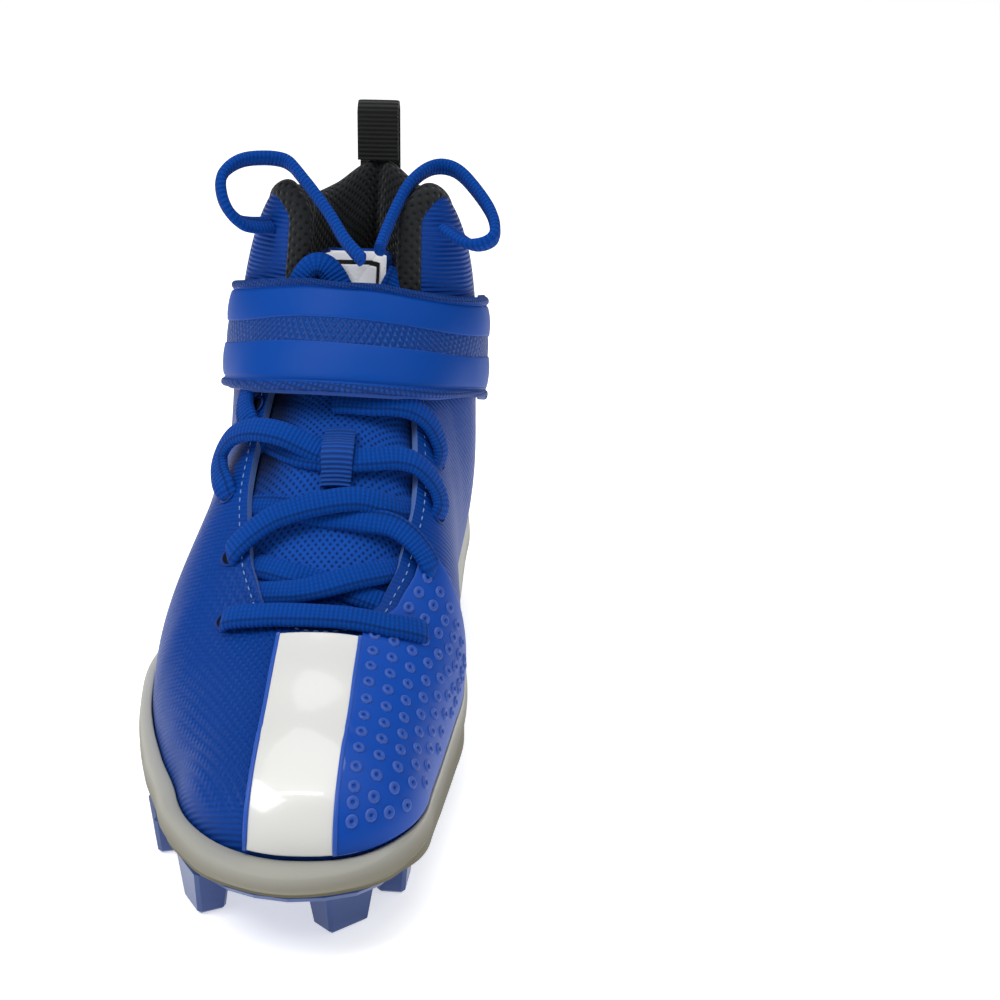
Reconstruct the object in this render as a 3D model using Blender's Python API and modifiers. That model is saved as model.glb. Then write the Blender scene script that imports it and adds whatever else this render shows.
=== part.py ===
"""Baseball cleat, the wearer's right shoe, standing empty on its studs.

Lengths are in metres and +Z is up. The toe points along -Y, the heel along +Y, the
lateral side faces -X and the medial side +X. The floor is the plane of the stud tips.

The last is a set of ribs. Each rib stands in a vertical plane that leaves a spine line
under the foot: it fans about a toe pole, runs square to the spine along the shoe and
fans again about a heel pole. Tables give every rib as shares of the driving sizes.
"""

import math
from functools import lru_cache
from typing import NamedTuple

import bmesh
import bpy
import numpy as np
from mathutils import Vector

# Driving sizes of the shoe
SHOE_LENGTH = 0.302
BALL_WIDTH = 0.108
EAR_HEIGHT = 0.174
HEEL_STACK = 0.040

# Walls and clearances
WALL = 0.0025
CLEARANCE = 0.0003
CURVED_CLEARANCE = 0.00045
FOOT_CLEARANCE = 0.0006

# Sole
PLATE_THICKNESS = 0.003
PLATE_INSET = 0.003
BUMPER_BULGE = 0.0045
RIM_ROUND = 0.0022
RIM_LEAST = 0.0013
STUD_TAPER = 0.74
STUD_BEVEL = 0.0011
STUD_ROOT = 0.0015

# Linings and soft pieces
INSOLE_THICKNESS = 0.004
INSOLE_CUP = 0.0015
LINING_THICKNESS = 0.0062
LINING_DEPTH = 0.038
LINING_CREST = 0.0048
LINING_GAP = 0.0008
LINING_EAR_GAP = 0.0025
TONGUE_THICKNESS = 0.0045
TONGUE_DROP = 0.0056
PATCH_THICKNESS = 0.001
LABEL_CLEARANCE = 0.0012
KEEPER_CLEARANCE = 0.0005
KEEPER_WIDTH = 0.0098
KEEPER_LENGTH = 0.020
KEEPER_THICKNESS = 0.0012
LABEL_WIDTH = 0.0215
LABEL_PLACE = 0.578
KEEPER_PLACE = 0.458
LABEL_LENGTH = 0.0125

# Overlays on the upper
OVERLAY_THICKNESS = 0.0009
COUNTER_THICKNESS = 0.0018
STRIPE_WIDTH = 0.0238
EYESTAY_MARGIN = 0.0045
OVERLAY_CLEARANCE = 0.0006

# Throat and ankle
THROAT_RUN_IN = 0.010
ANKLE_BACK = 0.666
SHAFT_LEAN = 0.045
STRAP_REACH = 128
STRAP_SIDE_GAP = 0.0010
STRAP_FRONT_GAP = 0.0046
STRAP_SWELL = 0.0017
STRAP_BORDER = 0.0019

# Laces and loops
LACE_WIDTH = 0.0078
LACE_THICKNESS = 0.0026
LACE_LIFT = 0.0021
PANEL_LACE_LIFT = 0.0033
LACE_STEPS = 3
CORD_RADIUS = 0.0022
LOOP_WIDTH = 0.0150
LOOP_THICKNESS = 0.0016
LOOP_GAP = 0.0068
LOOP_RISE = 0.0205
LOOP_TAIL = 0.0160

LATERAL = -1
MEDIAL = 1


class Rib(NamedTuple):
    """One rib: along is a share of the length, turn is in degrees from straight ahead.

    The outs are shares of the ball width and the ups are shares of the ear height.
    """

    along: float
    turn: float
    foot: float
    low_out: float
    low_up: float
    high_out: float
    high_up: float
    top_out: float
    top_up: float


LATERAL_RIBS = [
    Rib(0.15, 0, 0.312, 0.328, 0.245, 0.170, 0.275, 0.000, 0.302),
    Rib(0.15, 30, 0.305, 0.328, 0.245, 0.175, 0.279, 0.000, 0.302),
    Rib(0.15, 60, 0.310, 0.338, 0.248, 0.195, 0.290, 0.000, 0.302),
    Rib(0.15, 90, 0.345, 0.370, 0.248, 0.212, 0.304, 0.000, 0.302),
    Rib(0.22, 90, 0.415, 0.455, 0.247, 0.262, 0.338, 0.000, 0.336),
    Rib(0.30, 90, 0.480, 0.530, 0.270, 0.315, 0.376, 0.000, 0.376),
    Rib(0.37, 90, 0.520, 0.565, 0.290, 0.350, 0.482, 0.000, 0.485),
    Rib(0.43, 90, 0.530, 0.575, 0.300, 0.365, 0.592, 0.000, 0.596),
    Rib(0.50, 90, 0.480, 0.500, 0.315, 0.400, 0.700, 0.000, 0.706),
    Rib(0.57, 90, 0.432, 0.440, 0.345, 0.400, 0.825, 0.000, 0.836),
    Rib(0.63, 90, 0.395, 0.385, 0.355, 0.432, 0.865, 0.222, 1.000),
    Rib(0.70, 90, 0.378, 0.380, 0.355, 0.410, 0.800, 0.287, 0.945),
    Rib(0.77, 90, 0.360, 0.375, 0.355, 0.382, 0.735, 0.305, 0.892),
    Rib(0.85, 90, 0.348, 0.385, 0.345, 0.333, 0.640, 0.290, 0.866),
    Rib(0.85, 120, 0.347, 0.400, 0.345, 0.300, 0.640, 0.297, 0.858),
    Rib(0.85, 150, 0.357, 0.415, 0.333, 0.270, 0.650, 0.318, 0.868),
    Rib(0.85, 180, 0.368, 0.440, 0.320, 0.240, 0.655, 0.335, 0.912),
]

MEDIAL_RIBS = [
    Rib(0.15, 0, 0.312, 0.328, 0.245, 0.170, 0.275, 0.000, 0.302),
    Rib(0.15, 30, 0.322, 0.343, 0.245, 0.180, 0.279, 0.000, 0.302),
    Rib(0.15, 60, 0.315, 0.341, 0.248, 0.195, 0.290, 0.000, 0.302),
    Rib(0.15, 90, 0.315, 0.347, 0.252, 0.198, 0.304, 0.000, 0.302),
    Rib(0.22, 90, 0.330, 0.372, 0.255, 0.228, 0.339, 0.000, 0.336),
    Rib(0.30, 90, 0.343, 0.405, 0.278, 0.287, 0.378, 0.000, 0.376),
    Rib(0.37, 90, 0.352, 0.425, 0.300, 0.320, 0.484, 0.000, 0.485),
    Rib(0.43, 90, 0.335, 0.412, 0.316, 0.330, 0.594, 0.000, 0.596),
    Rib(0.50, 90, 0.315, 0.355, 0.333, 0.362, 0.702, 0.000, 0.706),
    Rib(0.57, 90, 0.292, 0.330, 0.355, 0.385, 0.826, 0.000, 0.836),
    Rib(0.63, 90, 0.292, 0.330, 0.355, 0.455, 0.865, 0.222, 1.000),
    Rib(0.70, 90, 0.305, 0.345, 0.355, 0.440, 0.800, 0.287, 0.945),
    Rib(0.77, 90, 0.322, 0.362, 0.355, 0.405, 0.735, 0.305, 0.892),
    Rib(0.85, 90, 0.340, 0.380, 0.345, 0.333, 0.640, 0.290, 0.866),
    Rib(0.85, 120, 0.345, 0.400, 0.345, 0.300, 0.640, 0.297, 0.858),
    Rib(0.85, 150, 0.355, 0.415, 0.333, 0.270, 0.650, 0.318, 0.868),
    Rib(0.85, 180, 0.368, 0.440, 0.320, 0.240, 0.655, 0.335, 0.912),
]


class Outline(NamedTuple):
    """Reach of the sole's side at one rib, in shares of the ball width."""

    lateral: float
    medial: float


OUTLINE = [
    Outline(0.417, 0.417),
    Outline(0.392, 0.396),
    Outline(0.368, 0.350),
    Outline(0.406, 0.342),
    Outline(0.474, 0.358),
    Outline(0.532, 0.378),
    Outline(0.570, 0.388),
    Outline(0.580, 0.382),
    Outline(0.545, 0.360),
    Outline(0.487, 0.335),
    Outline(0.445, 0.335),
    Outline(0.425, 0.350),
    Outline(0.408, 0.368),
    Outline(0.396, 0.386),
    Outline(0.395, 0.392),
    Outline(0.405, 0.402),
    Outline(0.417, 0.417),
]


class Stack(NamedTuple):
    """Levels of the sole at a share of the length, in shares of the heel stack."""

    along: float
    under: float
    floor: float
    rim: float


STACKS = [
    Stack(0.00, 0.450, 0.600, 0.705),
    Stack(0.06, 0.385, 0.575, 0.712),
    Stack(0.15, 0.320, 0.550, 0.725),
    Stack(0.30, 0.283, 0.540, 0.760),
    Stack(0.45, 0.290, 0.560, 0.830),
    Stack(0.60, 0.325, 0.610, 0.925),
    Stack(0.75, 0.313, 0.640, 1.000),
    Stack(0.90, 0.288, 0.650, 1.025),
    Stack(1.00, 0.313, 0.650, 1.050),
]


class Shift(NamedTuple):
    """Sideways place of the spine at a share of the length, in ball widths."""

    along: float
    side: float


SPINE = [
    Shift(0.00, 0.100),
    Shift(0.15, 0.100),
    Shift(0.30, 0.095),
    Shift(0.50, 0.100),
    Shift(0.63, 0.080),
    Shift(0.85, 0.022),
    Shift(1.00, 0.020),
]


class Throat(NamedTuple):
    """Half width of the throat at a share of the length, in ball widths."""

    along: float
    half: float


THROAT_START = 0.295
THROAT = [
    Throat(0.295, 0.135),
    Throat(0.325, 0.160),
    Throat(0.36, 0.200),
    Throat(0.43, 0.230),
    Throat(0.52, 0.205),
    Throat(0.63, 0.185),
]

# Places along the ribs where the upper has a column of its mesh
UPPER_PLACES = (
    [0.5 * step for step in range(10)]
    + [4.938, 4.99, 5.07, 5.2, 5.4, 5.8, 6.2, 6.6]
    + [7 + 0.5 * step for step in range(5)]
    + [9.4, 9.7, 10, 10.3, 10.7]
    + [11 + 0.5 * step for step in range(11)]
)
SOLE_PLACES = [0.5 * step for step in range(33)]
UPPER_ROWS = 6
LINING_START = 9.55


class StudSpot(NamedTuple):
    """A stud: rib number, side, inset from the sole's edge, and its two lengths."""

    place: float
    side: int
    inset: float
    length: float
    width: float


STUDS = {
    "toe_medial": StudSpot(1.10, MEDIAL, 0.0200, 0.0185, 0.0120),
    "toe_lateral": StudSpot(2.30, LATERAL, 0.0100, 0.0170, 0.0115),
    "fore_medial": StudSpot(3.20, MEDIAL, 0.0120, 0.0175, 0.0110),
    "fore_lateral": StudSpot(4.10, LATERAL, 0.0070, 0.0180, 0.0110),
    "ball_medial": StudSpot(5.00, MEDIAL, 0.0120, 0.0185, 0.0115),
    "ball_lateral": StudSpot(5.65, LATERAL, 0.0080, 0.0190, 0.0115),
    "waist_medial": StudSpot(6.80, MEDIAL, 0.0115, 0.0180, 0.0115),
    "waist_lateral": StudSpot(7.05, LATERAL, 0.0085, 0.0190, 0.0115),
    "heel_front_lateral": StudSpot(11.70, LATERAL, 0.0100, 0.0190, 0.0120),
    "heel_front_medial": StudSpot(11.70, MEDIAL, 0.0100, 0.0190, 0.0120),
    "heel_back_lateral": StudSpot(14.35, LATERAL, 0.0105, 0.0190, 0.0120),
    "heel_back_medial": StudSpot(14.35, MEDIAL, 0.0105, 0.0190, 0.0120),
}
CENTRE_STUD = StudSpot(4.10, MEDIAL, 0.0, 0.0160, 0.0120)


class CounterTop(NamedTuple):
    """Top of the heel counter at a rib number, in shares of the ear height."""

    place: float
    up: float


COUNTER_TOPS = [
    CounterTop(11.0, 0.330),
    CounterTop(11.4, 0.440),
    CounterTop(12.0, 0.500),
    CounterTop(13.0, 0.520),
    CounterTop(14.5, 0.500),
    CounterTop(16.0, 0.470),
]


class StrapLevel(NamedTuple):
    """Edges of the strap at a turn about the ankle, in shares of the ear height."""

    turn: float
    bottom: float
    top: float


STRAP_LEVELS = [
    StrapLevel(0, 0.662, 0.845),
    StrapLevel(45, 0.640, 0.825),
    StrapLevel(90, 0.597, 0.785),
    StrapLevel(135, 0.530, 0.740),
]


class StrapStep(NamedTuple):
    """Outer form of the strap: share of its height and share of its swell."""

    across: float
    swell: float


STRAP_STEPS = [
    StrapStep(0.00, -0.15),
    StrapStep(0.10, 0.00),
    StrapStep(0.13, 0.45),
    StrapStep(0.20, 0.90),
    StrapStep(0.26, 1.00),
    StrapStep(0.32, 0.90),
    StrapStep(0.39, 0.30),
    StrapStep(0.41, 0.55),
    StrapStep(0.61, 0.55),
    StrapStep(0.63, 0.30),
    StrapStep(0.70, 0.90),
    StrapStep(0.76, 1.00),
    StrapStep(0.82, 0.90),
    StrapStep(0.88, 0.45),
    StrapStep(0.91, 0.00),
    StrapStep(1.00, 0.00),
]


class TongueRow(NamedTuple):
    """Tongue at a share of the length: half width in ball widths, and its thinning."""

    along: float
    half: float
    body: float


TONGUE_ROWS = [
    TongueRow(0.245, 0.120, 0.35),
    TongueRow(0.275, 0.160, 0.45),
    TongueRow(0.310, 0.190, 0.70),
    TongueRow(0.350, 0.235, 1.00),
    TongueRow(0.400, 0.265, 1.00),
    TongueRow(0.450, 0.275, 1.00),
    TongueRow(0.500, 0.265, 1.00),
    TongueRow(0.545, 0.220, 1.00),
    TongueRow(0.575, 0.165, 1.00),
    TongueRow(0.595, 0.125, 0.70),
]


class LacePoint(NamedTuple):
    """A point of a lace: offset from the spine in ball widths, share of the length."""

    side: float
    along: float


LACE_BAR = [
    LacePoint(-0.285, 0.312),
    LacePoint(-0.19, 0.318),
    LacePoint(-0.08, 0.322),
    LacePoint(0.08, 0.321),
    LacePoint(0.19, 0.315),
    LacePoint(0.290, 0.306),
]

LACE_CROSSES = {
    "lace_cross_1": (
        PANEL_LACE_LIFT,
        [LacePoint(-0.27, 0.352), LacePoint(-0.10, 0.364), LacePoint(0.10, 0.374), LacePoint(0.27, 0.382)],
        [LacePoint(0.28, 0.350), LacePoint(0.10, 0.366), LacePoint(-0.10, 0.376), LacePoint(-0.27, 0.384)],
    ),
    "lace_cross_2": (
        LACE_LIFT,
        [LacePoint(-0.28, 0.420), LacePoint(-0.10, 0.426), LacePoint(0.10, 0.434), LacePoint(0.28, 0.446)],
        [LacePoint(0.29, 0.419), LacePoint(0.10, 0.428), LacePoint(-0.10, 0.436), LacePoint(-0.28, 0.446)],
    ),
}

# Free loops of the lace at the ears, as points in millimetres along a chosen route
LOOP_ROUTES_MM = {
    "lace_loop_lateral": [
        (-17.8, 36.5, 163.5), (-25, 28, 166), (-30, 26, 172), (-32, 29, 179), (-30, 33, 183),
        (-24, 38, 185), (-13, 41, 184), (-6, 36, 179), (3, 28, 170), (9, 21, 163), (15, 16, 158),
    ],
    "lace_loop_medial": [
        (40.2, 34.4, 164.4), (49, 27, 161), (56, 27, 163), (56, 33, 168), (51, 41, 174),
        (43, 49, 180), (35, 49, 181), (28, 41, 177), (23, 31, 168), (20, 21, 160),
    ],
}

BLUE = (0.016, 0.085, 0.46)
DARK_BLUE = (0.012, 0.060, 0.34)
SLATE = (0.10, 0.17, 0.42)
CREAM = (0.74, 0.75, 0.70)
WHITE = (0.82, 0.85, 0.88)
BLACK = (0.012, 0.012, 0.015)


def smooth(values, place):
    """Ease through rows set at whole numbers, with level ends."""
    rows = np.asarray(values, float)
    last = len(rows) - 1
    place = min(max(place, 0.0), float(last))
    start = min(int(place), last - 1)
    before = rows[start - 1] if start > 0 else rows[1]
    after = rows[start + 2] if start + 2 <= last else rows[last - 1]
    here = rows[start]
    there = rows[start + 1]
    leave = (there - before) / 2
    arrive = (after - here) / 2
    f = place - start
    return (
        (2 * f**3 - 3 * f**2 + 1) * here
        + (f**3 - 2 * f**2 + f) * leave
        + (3 * f**2 - 2 * f**3) * there
        + (f**3 - f**2) * arrive
    )


def along_table(rows, column, along):
    """Ease a column of a table between rows set at uneven shares."""
    places = np.array([row[0] for row in rows])
    values = [getattr(row, column) for row in rows]
    return smooth(values, float(np.interp(along, places, np.arange(len(rows)))))


RIB_TABLES = {LATERAL: LATERAL_RIBS, MEDIAL: MEDIAL_RIBS}
LAST_PLACE = len(LATERAL_RIBS) - 1
WIDEST_V = 0.1
RIB_NUMBERS = np.arange(LAST_PLACE + 1)
TOE_PLACES = 3
TOE_POLE = LATERAL_RIBS[0].along
HEEL_POLE = LATERAL_RIBS[-1].along


def to_y(along):
    return (along - 0.5) * SHOE_LENGTH


def to_along(y):
    return y / SHOE_LENGTH + 0.5


@lru_cache(maxsize=None)
def spine_x(along):
    return along_table(SPINE, "side", along) * BALL_WIDTH


@lru_cache(maxsize=None)
def level(column, y):
    """Height of the sole's under, floor or rim at a place along the shoe."""
    return along_table(STACKS, column, to_along(y)) * HEEL_STACK


@lru_cache(maxsize=None)
def spoke(side, place):
    """Spine point and outward direction of a rib, in plan."""
    table = RIB_TABLES[side]
    along = float(np.interp(place, RIB_NUMBERS, [rib.along for rib in table]))
    turn = math.radians(float(np.interp(place, RIB_NUMBERS, [rib.turn for rib in table])))
    return along, np.array([spine_x(along), to_y(along)]), np.array([side * math.sin(turn), -math.cos(turn)])


@lru_cache(maxsize=None)
def reach(side, place):
    """Distance of the sole's side from the spine."""
    column = "lateral" if side == LATERAL else "medial"
    return smooth([getattr(row, column) for row in OUTLINE], place) * BALL_WIDTH


@lru_cache(maxsize=None)
def rib_controls(side, place):
    """The four control points of a rib, as (out, up) pairs."""
    table = RIB_TABLES[side]
    foot, low_out, low_up, high_out, high_up, top_out, top_up = smooth([row[2:] for row in table], place)
    _, spine, way = spoke(side, place)
    foot_y = spine[1] + way[1] * foot * BALL_WIDTH
    return np.array(
        [
            [foot * BALL_WIDTH, level("floor", foot_y) + FOOT_CLEARANCE],
            [low_out * BALL_WIDTH, low_up * EAR_HEIGHT],
            [high_out * BALL_WIDTH, high_up * EAR_HEIGHT],
            [max(top_out, 0.0) * BALL_WIDTH, top_up * EAR_HEIGHT],
        ]
    )


def rib_at(controls, v):
    """Out and up of a rib at v, from 0 at the foot to 1 at the top."""
    w = 1 - v
    return w**3 * controls[0] + 3 * w * w * v * controls[1] + 3 * w * v * v * controls[2] + v**3 * controls[3]


def raw_point(side, place, v):
    if place < 0:
        side, place = -side, -place
    if place > LAST_PLACE:
        side, place = -side, 2 * LAST_PLACE - place
    along, spine, way = spoke(side, place)
    out, up = rib_at(rib_controls(side, place), v)
    y = spine[1] + way[1] * out
    lean = SHAFT_LEAN * float(np.interp(along, [0.5, HEEL_POLE], [0.0, 1.0])) * (up - HEEL_STACK)
    return np.array([spine[0] + way[0] * out + max(lean, 0.0), y, up])


def skin_normal(side, place, v):
    """Outward normal of the upper's outer face."""
    step = 0.02
    v = min(v, 1 - step)
    along_rib = raw_point(side, place, v + step / 2) - raw_point(side, place, max(v - step / 2, 0))
    around = raw_point(side, place + step, v) - raw_point(side, place - step, v)
    normal = np.cross(around, along_rib) * side
    return normal / np.linalg.norm(normal)


def skin(side, place, v, lift=0.0):
    """Point of the upper's outer face, lifted off it along its normal."""
    point = raw_point(side, place, v)
    if lift:
        point = point + lift * skin_normal(side, place, v)
    return point


def solve(function, target, low, high):
    """Root of a function that falls from low to high, by halving."""
    for _ in range(40):
        middle = (low + high) / 2
        if function(middle) > target:
            low = middle
        else:
            high = middle
    return (low + high) / 2


def v_at_out(side, place, out):
    """Highest v at which a rib has this reach from the spine."""
    controls = rib_controls(side, place)
    if rib_at(controls, 1.0)[0] >= out:
        return 1.0
    return solve(lambda v: rib_at(controls, v)[0], out, WIDEST_V, 1.0)


@lru_cache(maxsize=None)
def v_at_up(side, place, up):
    """The v at which a rib has this height."""
    controls = rib_controls(side, place)
    return solve(lambda v: -rib_at(controls, v)[1], -up, 0.0, 1.0)


def throat_half(along):
    """Half width of the throat, nothing ahead of its start."""
    if along <= THROAT_START:
        return 0.0
    half = along_table(THROAT, "half", along) * BALL_WIDTH
    run = (along - THROAT_START) * SHOE_LENGTH / THROAT_RUN_IN
    if run < 1:
        half *= math.sqrt(1 - (1 - run) ** 2)
    return half


@lru_cache(maxsize=None)
def v_top(side, place):
    """The v at which the upper ends: ridge, throat edge or collar."""
    along, _, _ = spoke(side, place)
    if place <= TOE_PLACES or along > LATERAL_RIBS[10].along:
        return 1.0
    half = throat_half(along)
    return v_at_out(side, place, half) if half else 1.0


@lru_cache(maxsize=None)
def v_rim(side, place):
    """The v at which a rib passes the rim of the midsole."""
    _, spine, way = spoke(side, place)
    y = spine[1] + way[1] * reach(side, place)
    return v_at_up(side, place, level("rim", y))


def over_vamp(offset, y, lift=0.0):
    """Point on the closed last above a plan offset from the spine."""
    side = MEDIAL if offset >= 0 else LATERAL
    ahead = to_y(TOE_POLE) - y
    if ahead > 0:
        place = math.degrees(math.atan2(abs(offset), ahead)) / 30
        out = math.hypot(offset, ahead)
    else:
        place = float(np.interp(to_along(y), [rib.along for rib in LATERAL_RIBS[3:14]], np.arange(3, 14)))
        out = abs(offset)
    v = v_at_out(side, place, max(out, 1e-5))
    normal = skin_normal(side, place, v)
    return raw_point(side, place, v) + lift * normal, normal


def collection(name):
    made = bpy.data.collections.new(name)
    bpy.context.scene.collection.children.link(made)
    return made


def material(name, colour, roughness, metallic=0.0):
    made = bpy.data.materials.new(name)
    made.use_nodes = True
    shader = made.node_tree.nodes["Principled BSDF"]
    shader.inputs["Base Color"].default_value = (*colour, 1.0)
    shader.inputs["Roughness"].default_value = roughness
    shader.inputs["Metallic"].default_value = metallic
    made.diffuse_color = (*colour, 1.0)
    return made


def place_object(name, mesh, home, finish):
    """Put a mesh in the scene as a named object with one material."""
    thing = bpy.data.objects.new(name, mesh)
    home.objects.link(thing)
    mesh.materials.clear()
    mesh.materials.append(finish)
    return thing


def grid_mesh(name, columns, closed):
    """Mesh through columns of points, with equal counts, welded where they meet."""
    form = bmesh.new()
    verts = [[form.verts.new(Vector(point)) for point in column] for column in columns]
    pairs = list(zip(verts, verts[1:]))
    if closed:
        pairs.append((verts[-1], verts[0]))
    for left, right in pairs:
        for low in range(len(left) - 1):
            form.faces.new((left[low], right[low], right[low + 1], left[low + 1]))
    bmesh.ops.remove_doubles(form, verts=form.verts[:], dist=2e-5)
    bmesh.ops.dissolve_degenerate(form, edges=form.edges[:], dist=2e-5)
    bmesh.ops.recalc_face_normals(form, faces=form.faces[:])
    mesh = bpy.data.meshes.new(name)
    form.to_mesh(mesh)
    form.free()
    return mesh


def ring_mesh(name, rings, closed):
    """Closed solid through rings of points: a tube with end caps, or a hoop."""
    form = bmesh.new()
    verts = [[form.verts.new(Vector(point)) for point in ring] for ring in rings]
    count = len(rings[0])
    pairs = list(zip(verts, verts[1:]))
    if closed:
        pairs.append((verts[-1], verts[0]))
    for near, far in pairs:
        for k in range(count):
            form.faces.new((near[k], near[(k + 1) % count], far[(k + 1) % count], far[k]))
    if not closed:
        form.faces.new(verts[0])
        form.faces.new(verts[-1])
    bmesh.ops.remove_doubles(form, verts=form.verts[:], dist=1e-5)
    bmesh.ops.recalc_face_normals(form, faces=form.faces[:])
    mesh = bpy.data.meshes.new(name)
    form.to_mesh(mesh)
    form.free()
    return mesh


def solidify(thing, thickness, offset):
    """Give an open sheet a wall, grown outward for offset 1 and inward for -1."""
    wall = thing.modifiers.new("wall", "SOLIDIFY")
    wall.thickness = thickness
    wall.offset = offset
    wall.use_even_offset = True
    wall.use_rim = True
    return wall


def face_outward(thing, toward):
    """Turn a sheet's faces so that most of them look along the given directions."""
    mesh = thing.data
    votes = sum(face.normal.dot(Vector(toward(face.center))) for face in mesh.polygons)
    if votes < 0:
        mesh.flip_normals()


def away_from_foot(point):
    """Direction from the middle of the foot's room to a point."""
    return Vector((point[0] - spine_x(to_along(point[1])), 0.35 * point[1], point[2] - 0.3 * EAR_HEIGHT))


def both_sides(places, build):
    """Columns from the toe along the lateral side to the heel and back medially."""
    first = [build(LATERAL, place) for place in places]
    second = [build(MEDIAL, place) for place in reversed(places[1:-1])]
    return first + second


def upper_rows(side, place):
    """The v values of the upper's mesh on one rib."""
    rim = v_rim(side, place)
    top = v_top(side, place)
    steps = [rim + (top - rim) * (k + 1) / UPPER_ROWS for k in range(UPPER_ROWS)]
    return [0.0, rim / 2, rim] + steps


def make_upper(home, finish):
    """One hollow shell, open at the collar, at the throat and underneath."""

    def column(side, place):
        return [skin(side, place, v) for v in upper_rows(side, place)]

    mesh = grid_mesh("upper", both_sides(UPPER_PLACES, column), True)
    thing = place_object("upper", mesh, home, finish)
    face_outward(thing, away_from_foot)
    solidify(thing, WALL, -1)
    return thing


def spoke_point(side, place, out, up=None, column=None, rise=0.0):
    """Point at a distance out along a rib's spoke, at a height or a sole level."""
    _, spine, way = spoke(side, place)
    y = spine[1] + way[1] * out
    height = level(column, y) + rise if column else up
    return (spine[0] + way[0] * out, y, height)


def make_midsole(home, finish):
    """Tray with a side wall, a bumper at the toe, a rounded rim and a floor."""

    def column(side, place):
        outer = reach(side, place)
        _, spine, way = spoke(side, place)
        y = spine[1] + way[1] * outer
        bottom = level("under", y) + PLATE_THICKNESS + CLEARANCE
        rim = level("rim", y)
        height = rim - bottom
        controls = rib_controls(side, place)
        v = v_rim(side, place)
        inner = rib_at(controls, v)[0] + CURVED_CLEARANCE
        middle = rib_at(controls, v / 2)
        foot = controls[0][0] + CURVED_CLEARANCE
        lip = max(outer - RIM_ROUND, inner + RIM_LEAST)
        wall = [
            (outer - BUMPER_BULGE, 0.0),
            (outer - 0.30 * BUMPER_BULGE, 0.22),
            (outer, 0.52),
            (max(outer - 0.10 * BUMPER_BULGE, lip), 0.78),
            (max(outer - 0.25 * BUMPER_BULGE, lip), 0.93),
            (lip, 1.0),
        ]
        points = [spoke_point(side, place, 0.0, column="under", rise=PLATE_THICKNESS + CLEARANCE)]
        points += [spoke_point(side, place, out, up=bottom + share * height) for out, share in wall]
        points += [
            spoke_point(side, place, inner, up=rim),
            spoke_point(side, place, middle[0] + CURVED_CLEARANCE, up=middle[1]),
            spoke_point(side, place, foot, column="floor"),
            spoke_point(side, place, 0.0, column="floor"),
        ]
        return points

    return place_object("midsole", grid_mesh("midsole", both_sides(SOLE_PLACES, column), True), home, finish)


def make_insole(home, finish):
    """Sock liner on the floor of the midsole, raised a little along its edge."""

    def column(side, place):
        controls = rib_controls(side, place)
        narrow = min(controls[0][0], rib_at(controls, v_rim(side, place) / 2)[0])
        edge = narrow - WALL - FOOT_CLEARANCE
        return [
            spoke_point(side, place, 0.0, column="floor", rise=CLEARANCE),
            spoke_point(side, place, edge - 0.0008, column="floor", rise=CLEARANCE),
            spoke_point(side, place, edge, column="floor", rise=CLEARANCE + INSOLE_THICKNESS / 2),
            spoke_point(side, place, edge - 0.0012, column="floor", rise=CLEARANCE + INSOLE_THICKNESS + INSOLE_CUP),
            spoke_point(side, place, edge - 0.0090, column="floor", rise=CLEARANCE + INSOLE_THICKNESS),
            spoke_point(side, place, 0.0, column="floor", rise=CLEARANCE + INSOLE_THICKNESS),
        ]

    return place_object("insole", grid_mesh("insole", both_sides(SOLE_PLACES, column), True), home, finish)


def stud_frame(spot):
    """Plan place and heading of a stud's long side."""
    out = reach(spot.side, spot.place) - spot.inset if spot.inset else 0.0
    _, spine, way = spoke(spot.side, spot.place)
    middle = spine + way * out
    step = 0.1
    _, spine_a, way_a = spoke(spot.side, spot.place - step)
    _, spine_b, way_b = spoke(spot.side, spot.place + step)
    run = (spine_b + way_b * reach(spot.side, spot.place + step)) - (
        spine_a + way_a * reach(spot.side, spot.place - step)
    )
    heading = math.atan2(run[1], run[0]) if spot.inset else 0.0
    return middle, heading


def make_stud(name, spot, cutters):
    """Tapered block from inside the plate down to the floor, with bevelled edges."""
    middle, heading = stud_frame(spot)
    root = level("under", middle[1]) + STUD_ROOT
    bpy.ops.mesh.primitive_cube_add(size=1, location=(0, 0, 0))
    block = bpy.context.active_object
    block.name = name
    for vertex in block.data.vertices:
        at_floor = vertex.co.z < 0
        share = STUD_TAPER if at_floor else 1.0
        vertex.co = Vector(
            (
                vertex.co.x * spot.length * share,
                vertex.co.y * spot.width * share,
                0.0 if at_floor else root,
            )
        )
    turn = Vector((math.cos(heading), math.sin(heading), 0))
    across = Vector((-math.sin(heading), math.cos(heading), 0))
    for vertex in block.data.vertices:
        spot_at = turn * vertex.co.x + across * vertex.co.y
        vertex.co = Vector((middle[0] + spot_at.x, middle[1] + spot_at.y, vertex.co.z))
    edges = block.modifiers.new("edges", "BEVEL")
    edges.width = STUD_BEVEL
    edges.segments = 1
    edges.limit_method = "ANGLE"
    for owner in block.users_collection:
        owner.objects.unlink(block)
    cutters.objects.link(block)
    block.hide_render = True
    block.display_type = "WIRE"
    return block


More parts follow.
